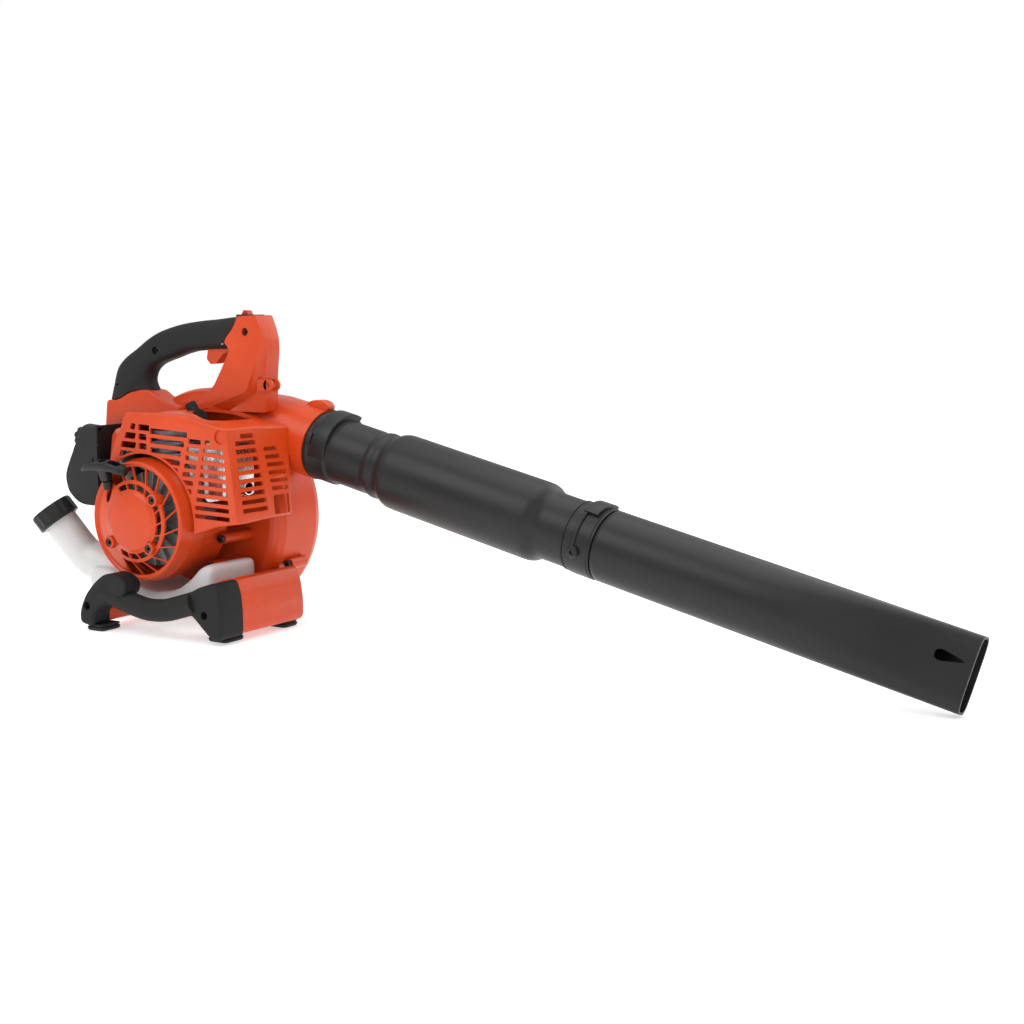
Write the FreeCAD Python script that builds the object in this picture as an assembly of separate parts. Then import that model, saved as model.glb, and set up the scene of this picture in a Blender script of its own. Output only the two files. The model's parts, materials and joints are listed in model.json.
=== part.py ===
import FreeCAD, Part
import math
import os

from FreeCAD import Placement, Rotation
from FreeCAD import Vector as V

# Hand-held petrol blower, millimetres.  The model is built in the engine's frame: the crankshaft
# axis runs along +Y through x = 0, z = 0, the starter's hub face lies at y = 0, +X points the way
# the air leaves and +Z is up.  The last step moves every solid so that the origin is the middle of
# the model's footprint, on the ground.

# ---- driving dimensions ----
GROUND = -128.0              # ground below the crankshaft axis
WALL = 2.5                   # moulded shell thickness
GAP = 0.3                    # clearance between faces of pieces that move past each other
FIT = 0.05                   # radial clearance of a pin in its hole

CASE_Y0 = 118.0              # engine side of the fan case
CASE_Y1 = 200.0              # intake side of the fan case
CASE_SPLIT = 157.0           # joint face of the two case halves
SCROLL_R = 122.0             # first quarter of the scroll
SCROLL_STEP = 9.0            # growth of the scroll's radius from quarter to quarter
SCROLL_C = V(-4, 0, -4)      # centre of the first quarter
CASE_ROUND = 14.0            # rounding of the case's rim
INTAKE_R = 66.0              # inlet eye
FAN_R = 94.0                 # impeller

RIM = V(157, 155, 83)        # centre of the outlet rim
TUBE_YAW = -2.0              # degrees towards the starter side
TUBE_SLOPE = 12.8            # degrees downwards
RIM_R = 41.5                 # outlet rim
NECK_R = 36.5                # plain tube
COLLAR_R = 40.5              # clamping collar
SILENCER_R = 43.0            # swollen middle of the first tube
NOZZLE_R = 38.0              # round part of the nozzle tube
SPIGOT_R = 36.0              # case spigot inside the collar
JOINT_R = 35.2               # first tube's spigot inside the nozzle tube
TUBE_WALL = 2.0
SILENCER_A = 104.0           # start of the swollen part, from the rim
SILENCER_B = 318.0           # end of the swollen part
NOZZLE_START = 388.0         # nozzle tube's socket face
NOZZLE_TAPER = 554.0         # end of the round part
TUBE_END = 779.0             # nozzle mouth
MOUTH_HEIGHT = 37.5          # half height of the mouth
MOUTH_WIDTH = 14.5           # half width of the mouth
MOUTH_LEAN = 15.0            # degrees that the mouth leans away from the starter side

HANDLE_Y = 118.0             # middle plane of the handle
HANDLE_HALF = 15.0           # half thickness of the handle column
GRIP_HALF = 15.6             # half thickness of the grip
CYL_Y = 75.0                 # cylinder's axis
STARTER_R = 70.0             # outside of the starter drum
HUB_R = 34.0                 # starter's hub disc
OPENING_R = 63.0             # outer edge of the starter's air slots
COVER_Y = 22.0               # front face of the engine cover

STARTER_SCREWS = [(34, 26.5), (26.5, -28.5), (-34, -26)]
ROPE_EXIT = V(-38, 5.5, 38)
ROPE_DIR = V(0, -0.26, 0.9656)
CASE_LUG_ANGLES = (-25, -55, -128, 165)
CRANKCASE_BOLTS = [(30, 30), (-30, 30), (30, -30), (-30, -30)]
PLUG_SEAT = V(12, CYL_Y, 96)
PLUG_DIR = V(math.sin(math.radians(55)), 0, math.cos(math.radians(55)))

FILTER_X = -142.0            # outside of the filter cover
FILTER_Y0 = 38.0
FILTER_Y1 = 101.5
FILTER_Z0 = 6.0
FILTER_Z1 = 104.0

COVER_LEFT = -66.0
COVER_OUTLINE = [(-66, 30), (-66, 96), (-48, 103), (-28, 122), (74, 121), (122, 108), (134, 4),
                 (52, -10), (-20, -4)]
COWL_BOSSES = [(74, -22), (57, -55)]

# pairs of points across the grip: outside, then inside
GRIP_SECTIONS = [((-138, 127), (-65, 140)), ((-131, 147), (-72, 152)), ((-124, 166), (-69, 163)),
                 ((-111, 179), (-60, 171)), ((-91, 191), (-47, 176)), ((-71, 203.5), (-33, 180)),
                 ((-50, 212.5), (-17, 185)), ((-20, 220), (-1, 188.5)), ((10, 224), (16, 190)),
                 ((35, 226), (34, 191)), ((58, 228), (52, 191.5))]
COLUMN = [(54, 226), (74, 228), (107, 230.5), (112, 203), (110, 188), (107, 160), (106, 120),
          (40, 120), (4, 127), (37, 151), (57, 183), (49, 192)]
REAR_ROOT = [(-137, 129), (-66, 142), (-48, 128), (-58, 104), (-72, 80), (-110, 70), (-146, 76)]
FACET_DEPTH = 7.0            # recessed facet on the column's starter side
HANDLE_SCREWS = [(85, 212), (-54, 189), (-121, 147)]
LUG = V(113, 108, 152)
LUG_THICK = 3.5
LUG_GAP = 8.0
LUG_BORE = 2.7
TRIGGER_Y0 = 111.5
TRIGGER_Y1 = 124.5
TRIGGER_PIVOT = V(50, HANDLE_Y, 199)

TANK_OUTLINE = [(-112, -60), (-70, -62), (-44, -74), (0, -84), (40, -78), (80, -60), (90, -58),
                (90, -96), (-40, -104), (-104, -92)]
NECK_TOP = V(-157, 42, -15)
NECK_DIR = V(-0.52, -0.28, 0.807).normalize()
FILLER_R = 20.5              # outside of the filler neck
MOUTH_R = 17.0               # threaded mouth under the cap
MOUTH_TALL = 6.0
CAP_R = 26.0
CAP_TALL = 20.5
STAND_HOLES = [V(-56, -18, -99), V(113, -6, -95)]

X_AXIS = V(1, 0, 0)
Y_AXIS = V(0, 1, 0)
Z_AXIS = V(0, 0, 1)
TUBE_PLACE = Placement(RIM, Rotation(TUBE_YAW, TUBE_SLOPE, 0))


# ---- building blocks ----
def box(x0, x1, y0, y1, z0, z1):
    return Part.makeBox(x1 - x0, y1 - y0, z1 - z0, V(x0, y0, z0))


def cyl_y(radius, y0, y1, x=0.0, z=0.0):
    return Part.makeCylinder(radius, y1 - y0, V(x, y0, z), Y_AXIS)


def rod(radius, start, end):
    return Part.makeCylinder(radius, start.distanceToPoint(end), start, end - start)


def ring_y(outer, inner, y0, y1, x=0.0, z=0.0):
    return cyl_y(outer, y0, y1, x, z).cut(cyl_y(inner, y0 - 1, y1 + 1, x, z))


def fused(shapes):
    shapes = list(shapes)
    if len(shapes) == 1:
        return shapes[0]
    return shapes[0].multiFuse(shapes[1:]).removeSplitter()


def polygon_face(points):
    wire = Part.makePolygon(points + [points[0]])
    return Part.Face(wire)


def prism_y(outline, y0, y1):
    points = [V(x, y0, z) for x, z in outline]
    return polygon_face(points).extrude(V(0, y1 - y0, 0))


def turned(profile):
    """Solid of revolution about the crankshaft axis; profile is (radius, place on the axis)."""
    points = [V(r, y, 0) for r, y in profile]
    return polygon_face(points).revolve(V(0, 0, 0), Y_AXIS, 360)


def rounded(shape, radius, picks):
    edges = [edge for edge in shape.Edges if picks(edge)]
    return shape.makeFillet(radius, edges)


def runs_along(axis):
    def picks(edge):
        if edge.Curve.TypeId != "Part::GeomLine":
            return False
        return edge.tangentAt(edge.FirstParameter).cross(axis).Length < 1e-6
    return picks


def oval_wire(centre, across, up, half_across, half_up, power=2.0, count=24):
    """Closed smooth curve |a|^power + |b|^power = 1 in the plane of two directions."""
    points = []
    for k in range(count):
        angle = 2 * math.pi * k / count
        c = math.cos(angle)
        s = math.sin(angle)
        a = math.copysign(abs(c) ** (2 / power), c) * half_across
        b = math.copysign(abs(s) ** (2 / power), s) * half_up
        points.append(centre + across * a + up * b)
    curve = Part.BSplineCurve()
    curve.interpolate(points, PeriodicFlag=True)
    return Part.Wire(curve.toShape())


def loft(wires, ruled=False):
    return Part.makeLoft(wires, True, ruled)


def screws_y(places, head_r, head_h, shank_r, length, y_head):
    """Socket-head screws along Y whose heads face the starter side."""
    solids = []
    for x, z in places:
        head = cyl_y(head_r, y_head, y_head + head_h, x, z)
        socket = Part.Face(Part.makePolygon([
            V(x + head_r * 0.5 * math.cos(math.radians(60 * k)), y_head,
              z + head_r * 0.5 * math.sin(math.radians(60 * k))) for k in range(7)]))
        head = head.cut(socket.extrude(V(0, head_h * 0.6, 0)))
        shank = cyl_y(shank_r, y_head + head_h, y_head + head_h + length, x, z)
        solids.append(head.fuse(shank))
    return solids


def on_tube(shape):
    shape.Placement = TUBE_PLACE.multiply(shape.Placement)
    return shape


# ---- fan case ----
def scroll_wire(y, inset=0.0):
    """Three quarter-circles whose radius grows by one step each, closed by the outlet side."""
    c1 = V(SCROLL_C.x, y, SCROLL_C.z)
    c2 = c1 + V(0, 0, SCROLL_STEP)
    c3 = c2 + V(SCROLL_STEP, 0, 0)
    r1 = SCROLL_R - inset
    r2 = r1 + SCROLL_STEP
    r3 = r2 + SCROLL_STEP

    def arc(centre, radius, a0, a1):
        places = [centre + V(math.cos(math.radians(a)), 0, math.sin(math.radians(a))) * radius
                  for a in (a0, (a0 + a1) / 2, a1)]
        return Part.Arc(*places).toShape()

    edges = [arc(c1, r1, 20, -90), arc(c2, r2, -90, -180), arc(c3, r3, 180, 62)]
    first_point = edges[0].Vertexes[0].Point
    last_point = edges[2].Vertexes[1].Point
    edges.append(Part.LineSegment(last_point, first_point).toShape())
    return Part.Wire(edges)


def scroll_body(inset=0.0):
    """The scroll with its rims rounded in three facets."""
    rim = [(1.0, 0.0), (0.62, 0.08), (0.22, 0.38), (0.0, 1.0)]
    places = [(CASE_Y0 + inset + CASE_ROUND * along, inset + CASE_ROUND * in_by) for in_by, along in rim]
    places += [(CASE_Y1 - inset - CASE_ROUND * along, inset + CASE_ROUND * in_by)
               for in_by, along in reversed(rim)]
    return loft([scroll_wire(y, by) for y, by in places], ruled=True)


def outlet_body(inset=0.0):
    """Neck that turns the scroll's flat-sided channel into the round outlet."""
    middle = (CASE_Y0 + CASE_Y1) / 2
    half = (CASE_Y1 - CASE_Y0) / 2 - inset
    throat = oval_wire(V(38, middle, 88), Y_AXIS, Z_AXIS, half, 53 - inset, power=5.0)
    middle_neck = oval_wire(V(88, middle - 1, 92), Y_AXIS, V(0.11, 0, 0.994), half, 45 - inset, power=3.0)
    along = TUBE_PLACE.Rotation.multVec(X_AXIS)
    side = TUBE_PLACE.Rotation.multVec(Y_AXIS)
    up = TUBE_PLACE.Rotation.multVec(Z_AXIS)
    radius = RIM_R - inset
    wires = [throat, middle_neck]
    for back in (28.0, 0.0):
        wires.append(oval_wire(RIM - along * back, side, up, radius, radius))
    return loft(wires, ruled=True)


def fan_case():
    solid = scroll_body().fuse(outlet_body())
    spigot = on_tube(Part.makeCylinder(SPIGOT_R, 26, V(-2, 0, 0), X_AXIS))
    solid = solid.fuse(spigot)
    hollow = scroll_body(WALL).fuse(outlet_body(WALL))
    hollow = hollow.fuse(on_tube(Part.makeCylinder(SPIGOT_R - WALL, 60, V(-30, 0, 0), X_AXIS)))
    shell = solid.cut(hollow)
    shell = shell.cut(cyl_y(INTAKE_R, CASE_Y1 - 10, CASE_Y1 + 5))
    shell = shell.cut(cyl_y(24.0, CASE_Y0 - 5, CASE_Y0 + 10))
    keep_inner = box(-250, 350, CASE_Y0 - 10, CASE_SPLIT, -250, 250)
    keep_outer = box(-250, 350, CASE_SPLIT, CASE_Y1 + 10, -250, 250)
    return solid, shell.common(keep_inner), shell.common(keep_outer)


def largest(shape):
    return max(shape.Solids, key=lambda solid: solid.Volume)


def scroll_point(angle, outward):
    """Point beside the scroll's outline; angle counts from +X towards +Z, from -180 to 180."""
    step = 0 if -90 <= angle <= 20 else (1 if angle < -90 else 2)
    centre_x = SCROLL_C.x + (SCROLL_STEP if step == 2 else 0)
    centre_z = SCROLL_C.z + (SCROLL_STEP if step > 0 else 0)
    reach = SCROLL_R + SCROLL_STEP * step + outward
    turn = math.radians(angle)
    return centre_x + reach * math.cos(turn), centre_z + reach * math.sin(turn)


def case_lugs(y0, y1):
    """Joint lugs around the case's rim."""
    spots = [scroll_point(angle, 5.0) for angle in CASE_LUG_ANGLES]
    return spots, [cyl_y(6.5, y0, y1, x, z) for x, z in spots]


def intake_grille():
    """Domed guard over the fan's inlet, with rings and spokes left between its openings."""
    outer = 80.0
    depth = 30.0
    profile = [(0, CASE_Y1 + depth), (40, CASE_Y1 + depth), (62, CASE_Y1 + depth - 5),
               (74, CASE_Y1 + depth - 16), (outer, CASE_Y1 + GAP), (outer - WALL, CASE_Y1 + GAP),
               (72, CASE_Y1 + depth - 18), (61, CASE_Y1 + depth - 7.5),
               (39, CASE_Y1 + depth - WALL), (0, CASE_Y1 + depth - WALL)]
    shell = turned(profile)
    cuts = []
    bands = [(14, 22), (26, 34), (38, 46), (50, 58), (62, 69)]
    spokes = 16
    for inner_r, outer_r in bands:
        band = ring_y(outer_r, inner_r, CASE_Y1 + 5, CASE_Y1 + depth + 5)
        for k in range(spokes):
            bar = box(0, outer, CASE_Y1, CASE_Y1 + depth + 6, -1.2, 1.2)
            bar.rotate(V(0, 0, 0), Y_AXIS, 360 * k / spokes)
            band = band.cut(bar)
        cuts += band.Solids
    flange = ring_y(outer + 6, outer - WALL - 1, CASE_Y1, CASE_Y1 + 3)
    return shell.cut(Part.makeCompound(cuts)).fuse(flange)


# ---- rotating group ----
def impeller():
    plate = cyl_y(FAN_R, 127, 129.5)
    hub = cyl_y(15, 127, 160)
    cone = turned([(15, 129.5), (32, 129.5), (15, 150)])
    blades = []
    count = 13
    for k in range(count):
        curve = Part.Arc(V(30, 129.5, 0), V(60, 129.5, 12), V(FAN_R - 1, 129.5, 6)).toShape()
        back = Part.Arc(V(FAN_R - 1, 129.5, 8.2), V(60, 129.5, 14.4), V(30, 129.5, 2.2)).toShape()
        sides = [Part.LineSegment(V(FAN_R - 1, 129.5, 6), V(FAN_R - 1, 129.5, 8.2)).toShape(),
                 Part.LineSegment(V(30, 129.5, 2.2), V(30, 129.5, 0)).toShape()]
        face = Part.Face(Part.Wire([curve, sides[0], back, sides[1]]))
        blade = face.extrude(V(0, 42, 0))
        blade.rotate(V(0, 0, 0), Y_AXIS, 360 * k / count)
        blades.append(blade)
    wheel = fused([plate, hub, cone] + blades)
    return wheel.cut(cyl_y(6.0, 120, 170))


def crankshaft():
    shaft = turned([(0, 22), (6.0, 22), (6.0, 50), (7.45, 50), (7.45, 112), (6.0, 112), (6.0, 168),
                    (0, 168)])
    webs = [cyl_y(22, CYL_Y - 12, CYL_Y - 5), cyl_y(22, CYL_Y + 5, CYL_Y + 12)]
    return fused([shaft] + webs)


def fan_nut():
    points = [V(10 * math.cos(math.radians(60 * k)), 160, 10 * math.sin(math.radians(60 * k)))
              for k in range(6)]
    nut = polygon_face(points).extrude(V(0, 7, 0))
    return nut.cut(cyl_y(6.0, 159, 168))


def flywheel():
    disc = turned([(6.0, 30), (54, 36), (54, 46), (30, 46), (24, 42), (6.0, 42)])
    fins = []
    count = 18
    for k in range(count):
        fin = box(28, 53.5, 29, 38, -1.0, 1.0)
        fin.rotate(V(0, 0, 0), Y_AXIS, 360 * k / count)
        fins.append(fin)
    return fused([disc] + fins)


def flywheel_nut():
    points = [V(8.5 * math.cos(math.radians(60 * k)), 24, 8.5 * math.sin(math.radians(60 * k)))
              for k in range(6)]
    nut = polygon_face(points).extrude(V(0, 5.8, 0))
    return nut.cut(cyl_y(6.0, 20, 32))


# ---- starter ----
def starter_cover():
    """Drum with a conical air grille round the hub disc; the rear-left part is closed."""
    profile = [(0, 0), (HUB_R - 3, 0), (HUB_R, 2), (OPENING_R, 12), (STARTER_R - 2, 10), (STARTER_R, 13),
               (STARTER_R, 46.5), (STARTER_R - WALL, 46.5), (STARTER_R - WALL, 15.5), (OPENING_R, 14.5),
               (HUB_R - 1, 4.5), (HUB_R - 4, WALL), (0, WALL)]
    shell = turned(profile)
    cuts = []
    bands = [(HUB_R + 2, 43.5), (46.5, OPENING_R)]
    first, last, count = -75.0, 150.0, 15
    for inner_r, outer_r in bands:
        ring = ring_y(outer_r, inner_r, -2, 18)
        pitch = (last - first) / count
        for k in range(count):
            wedge = sector(outer_r + 2, first + pitch * k + 1.8, first + pitch * (k + 1) - 1.8, -2, 18)
            cuts.append(ring.common(wedge))
    shell = shell.cut(Part.makeCompound(cuts))
    bosses = [cyl_y(6.5, 1.5, 12, x, z) for x, z in STARTER_SCREWS]
    shell = fused([shell] + bosses)
    post = cyl_y(5.0, WALL - 1, 18)
    shell = shell.fuse(post)
    holes = [cyl_y(2.6, 0, 20, x, z) for x, z in STARTER_SCREWS]
    heads = [cyl_y(4.8, 0, 5, x, z) for x, z in STARTER_SCREWS]
    return shell.cut(Part.makeCompound(holes + heads + [rope_guide_hole()]))


def sector(radius, a0, a1, y0, y1):
    """Wedge about the crank axis from angle a0 to a1, counted from +X towards +Z."""
    mid = math.radians((a0 + a1) / 2)
    ends = [math.radians(a0), math.radians(a1)]
    reach = radius * 1.2
    points = [V(0, y0, 0), V(reach * math.cos(ends[0]), y0, reach * math.sin(ends[0])),
              V(reach * math.cos(mid), y0, reach * math.sin(mid)),
              V(reach * math.cos(ends[1]), y0, reach * math.sin(ends[1]))]
    return polygon_face(points).extrude(V(0, y1 - y0, 0))


def rope_guide_hole():
    return Part.makeCylinder(5.5, 40, ROPE_EXIT - ROPE_DIR * 20, ROPE_DIR)


def rope_guide():
    outer = Part.makeCylinder(5.4, 9, ROPE_EXIT - ROPE_DIR * 3, ROPE_DIR)
    return outer.cut(Part.makeCylinder(2.5, 30, ROPE_EXIT - ROPE_DIR * 10, ROPE_DIR))


def starter_grip():
    """T-shaped pull: a bar with swept-down ends on a short stem."""
    base = ROPE_EXIT + ROPE_DIR * 7
    stem = Part.makeCylinder(5.0, 13, base, ROPE_DIR)
    middle = base + ROPE_DIR * 18
    side = X_AXIS
    out = ROPE_DIR.cross(side)
    wires = []
    for along, drop, tall in ((-32, -4.5, 4.0), (-28, -3, 6.5), (-14, -0.5, 7.0), (0, 0, 7.5),
                              (14, -0.5, 7.0), (28, -3, 6.5), (32, -4.5, 4.0)):
        deep = 7.0 if abs(along) < 30 else 4.5
        wires.append(oval_wire(middle + side * along + ROPE_DIR * drop, out, ROPE_DIR, deep, tall, power=2.6))
    return stem.fuse(loft(wires))


def starter_pulley():
    return turned([(5.3, 10), (26, 10), (26, 11.5), (22, 11.5), (22, 16), (26, 16), (26, 17.5),
                   (5.3, 17.5)])


def recoil_spring():
    return ring_y(24, 20, 4, 9.5)


def starter_pawls():
    pawls = []
    for turn in (0, 180):
        pawl = box(10, 22, 18.5, 22.5, 4, 9)
        pawl.rotate(V(0, 0, 0), Y_AXIS, turn)
        pawls.append(pawl)
    return Part.makeCompound(pawls)


# ---- engine ----
def crankcase():
    drum = cyl_y(33, 50, 108)
    deck = box(-24, 24, CYL_Y - 24, CYL_Y + 24, 0, 34)
    feet = [rod(6, V(x, 104, z), V(x, CASE_Y0, z)) for x, z in CRANKCASE_BOLTS]
    ties = [box(min(0, x), max(0, x), 100, 108, min(0, z) - 3, max(0, z) + 3) for x, z in CRANKCASE_BOLTS]
    solid = fused([drum, deck] + feet + ties)
    cavity = cyl_y(24, CYL_Y - 14, CYL_Y + 14)
    bore = Part.makeCylinder(17.0, 40, V(0, CYL_Y, 0), Z_AXIS)
    seats = [cyl_y(14.0, 48, 58), cyl_y(14.0, 92, 110), cyl_y(9.0, 46, 112)]
    for piece in [cavity, bore] + seats:
        solid = solid.cut(piece)
    return solid


def crank_bearings():
    return Part.makeCompound([ring_y(13.95, 7.5, 50, 58), ring_y(13.95, 7.5, 92, 100)])


def crank_seals():
    return Part.makeCompound([ring_y(13.95, 7.5, 101, 106)])


def cylinder():
    fins = []
    for k in range(9):
        plate = box(-33, 33, CYL_Y - 27, CYL_Y + 29, 40 + 6.5 * k, 42 + 6.5 * k)
        fins.append(rounded(plate, 12, runs_along(Z_AXIS)))
    barrel = Part.makeCylinder(23, 60, V(0, CYL_Y, 34), Z_AXIS)
    head = Part.makeCylinder(27, 8, V(0, CYL_Y, 92), Z_AXIS)
    ports = [box(22, 36, CYL_Y - 15, CYL_Y + 15, 46, 72), box(-36, -22, CYL_Y - 15, CYL_Y + 15, 38, 62)]
    flange = box(-24, 24, CYL_Y - 24, CYL_Y + 24, 34, 38)
    solid = fused([barrel, head, flange] + ports + fins)
    solid = solid.cut(Part.makeCylinder(17.0, 54, V(0, CYL_Y, 33), Z_AXIS))
    solid = solid.cut(rod(6, V(36.1, CYL_Y, 60), V(10, CYL_Y, 60)))
    solid = solid.cut(rod(6, V(-36.1, CYL_Y, 50), V(-10, CYL_Y, 50)))
    solid = solid.cut(rod(7.0, PLUG_SEAT - PLUG_DIR * 14, PLUG_SEAT + PLUG_DIR * 20))
    return solid.cut(rod(10.0, PLUG_SEAT + PLUG_DIR * 2, PLUG_SEAT + PLUG_DIR * 30))


def piston():
    crown = Part.makeCylinder(16.95, 26, V(0, CYL_Y, 56), Z_AXIS)
    inside = Part.makeCylinder(14.5, 22, V(0, CYL_Y, 55), Z_AXIS)
    pin_hole = rod(4.0, V(-20, CYL_Y, 66), V(20, CYL_Y, 66))
    return crown.cut(inside).cut(pin_hole)


def piston_pin():
    return rod(3.98, V(-16, CYL_Y, 66), V(16, CYL_Y, 66))


def spark_plug():
    seat = PLUG_SEAT
    parts = [rod(6.95, seat - PLUG_DIR * 12, seat + PLUG_DIR * 2),
             rod(9.5, seat + PLUG_DIR * 2.0, seat + PLUG_DIR * 9),
             rod(5.0, seat + PLUG_DIR * 9, seat + PLUG_DIR * 28)]
    return fused(parts)


def spark_plug_boot():
    start = PLUG_SEAT + PLUG_DIR * 15
    end = PLUG_SEAT + PLUG_DIR * 38
    side = V(-PLUG_DIR.z, 0, PLUG_DIR.x)
    sleeve = rod(8.5, start, end)
    elbow = rod(6.5, end - PLUG_DIR * 7.5, end - PLUG_DIR * 7.5 + side * 20)
    bore = rod(5.05, start - PLUG_DIR, PLUG_SEAT + PLUG_DIR * 28.1)
    return sleeve.fuse(elbow).cut(bore)


def ignition_coil():
    body = box(-16, 16, 34, 46, 57, 64)
    legs = [box(-16, -8, 34, 46, 56, 60), box(8, 16, 34, 46, 56, 60)]
    return fused([body] + legs).cut(cyl_y(55.5, 30, 50))


def muffler():
    x0, x1 = 36.5, 98.0
    y0, y1 = 52.0, 104.0
    z0, z1 = 24.0, 88.0
    shell = rounded(box(x0, x1, y0, y1, z0, z1), 7, lambda e: True)
    inner = rounded(box(x0 + 1.5, x1 - 1.5, y0 + 1.5, y1 - 1.5, z0 + 1.5, z1 - 1.5), 5.5, lambda e: True)
    seam = box((x0 + x1) / 2 - 1, (x0 + x1) / 2 + 1, y0 - 3, y1 + 3, z0 - 3, z1 + 3)
    seam = rounded(seam, 9, runs_along(X_AXIS))
    outlet = rod(8, V(88, y1 - 30, z0 + 14), V(112, y1 - 30, z0 + 14))
    can = fused([shell, seam, outlet]).cut(inner)
    can = can.cut(rod(6.5, V(90, y1 - 30, z0 + 14), V(113, y1 - 30, z0 + 14)))
    return can.cut(rod(6, V(36, CYL_Y, 60), V(39, CYL_Y, 60)))


def insulator_block():
    block = box(-48, -36, CYL_Y - 15, CYL_Y + 15, 36, 64)
    return block.cut(rod(6, V(-50, CYL_Y, 50), V(-30, CYL_Y, 50)))


def carburetor():
    body = rounded(box(-78, -48, CYL_Y - 17, CYL_Y + 17, 33, 67), 3, runs_along(X_AXIS))
    cover = box(-76, -50, CYL_Y - 15, CYL_Y + 15, 67, 71)
    pump = rod(11, V(-63, CYL_Y, 29), V(-63, CYL_Y, 33))
    solid = fused([body, cover, pump])
    solid = solid.cut(rod(6, V(-80, CYL_Y, 50), V(-46, CYL_Y, 50)))
    solid = solid.cut(Part.makeCylinder(8.7, 6, V(-63, CYL_Y, 28), Z_AXIS))
    return solid.cut(rod(2.55, V(-63, CYL_Y - 20, 58), V(-63, CYL_Y + 20, 58)))


def primer_bulb():
    dome = Part.makeSphere(8.2, V(-63, CYL_Y, 29.5))
    dome = dome.common(box(-80, -40, 40, 110, 15, 29.5))
    stem = Part.makeCylinder(8.2, 0.8, V(-63, CYL_Y, 29.3), Z_AXIS)
    return dome.fuse(stem)


def throttle_shaft():
    shaft = rod(2.5, V(-63, CYL_Y - 21, 58), V(-63, CYL_Y + 21, 58))
    arm = box(-66, -60, CYL_Y - 21, CYL_Y - 18.5, 55, 74)
    return shaft.fuse(arm)


# ---- air filter ----
def filter_base():
    plate = rounded(box(-92, -88, FILTER_Y0 + 3, FILTER_Y1 - 3, FILTER_Z0 + 3, FILTER_Z1 - 3), 15,
                    runs_along(X_AXIS))
    duct = rod(12, V(-88, CYL_Y, 50), V(-78, CYL_Y, 50))
    post = rod(4, V(-92, CYL_Y, 84), V(-112, CYL_Y, 84))
    solid = fused([plate, duct, post])
    return solid.cut(rod(8, V(-95, CYL_Y, 50), V(-70, CYL_Y, 50)))


def filter_element():
    foam = rounded(box(-108, -92.2, FILTER_Y0 + 9, FILTER_Y1 - 9, FILTER_Z0 + 9, FILTER_Z1 - 34), 8,
                   runs_along(X_AXIS))
    return foam


def filter_cover():
    outer = rounded(box(FILTER_X, -88, FILTER_Y0, FILTER_Y1, FILTER_Z0, FILTER_Z1), 18, runs_along(X_AXIS))
    outer = rounded(outer, 15, lambda e: abs(e.CenterOfMass.x - FILTER_X) < 0.01)
    inner = rounded(box(FILTER_X + WALL, -80, FILTER_Y0 + WALL, FILTER_Y1 - WALL, FILTER_Z0 + WALL,
                        FILTER_Z1 - WALL), 15.5, runs_along(X_AXIS))
    inner = rounded(inner, 12.5, lambda e: abs(e.CenterOfMass.x - FILTER_X - WALL) < 0.01)
    shell = outer.cut(inner)
    shell = shell.cut(rod(7, V(-90, FILTER_Y0 - 5, 60), V(-90, FILTER_Y0 + 8, 60)))
    return shell.cut(rod(4.3, V(-150, CYL_Y, 84), V(-120, CYL_Y, 84)))


def filter_knob():
    shank = rod(4.0, V(-112.3, CYL_Y, 84), V(FILTER_X - 1, CYL_Y, 84))
    head = rod(13, V(FILTER_X - 1, CYL_Y, 84), V(FILTER_X - 9, CYL_Y, 84))
    grips = []
    for k in range(8):
        a = 2 * math.pi * k / 8
        y = CYL_Y + 14.5 * math.cos(a)
        z = 84 + 14.5 * math.sin(a)
        grips.append(rod(3.2, V(FILTER_X, y, z), V(FILTER_X - 12, y, z)))
    return shank.fuse(head).cut(Part.makeCompound(grips))


def choke_lever():
    pivot = rod(3.0, V(-84, CYL_Y - 40, 60), V(-84, CYL_Y - 18, 60))
    arm = box(-87, -81, CYL_Y - 44, CYL_Y - 40, 54, 82)
    return pivot.fuse(rounded(arm, 2.9, lambda e: runs_along(Y_AXIS)(e) and e.CenterOfMass.z > 70))


# ---- engine cover ----
def cover_outline(inset):
    """Front outline of the engine cover, moved inwards by the wall."""
    middle_x = sum(p[0] for p in COVER_OUTLINE) / len(COVER_OUTLINE)
    middle_z = sum(p[1] for p in COVER_OUTLINE) / len(COVER_OUTLINE)
    half_x = (COVER_OUTLINE[6][0] - COVER_LEFT) / 2
    half_z = (COVER_OUTLINE[3][1] - COVER_OUTLINE[7][1]) / 2
    keep_x = 1 - inset / half_x
    keep_z = 1 - inset / half_z
    return [(middle_x + (x - middle_x) * keep_x, middle_z + (z - middle_z) * keep_z)
            for x, z in COVER_OUTLINE]


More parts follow.
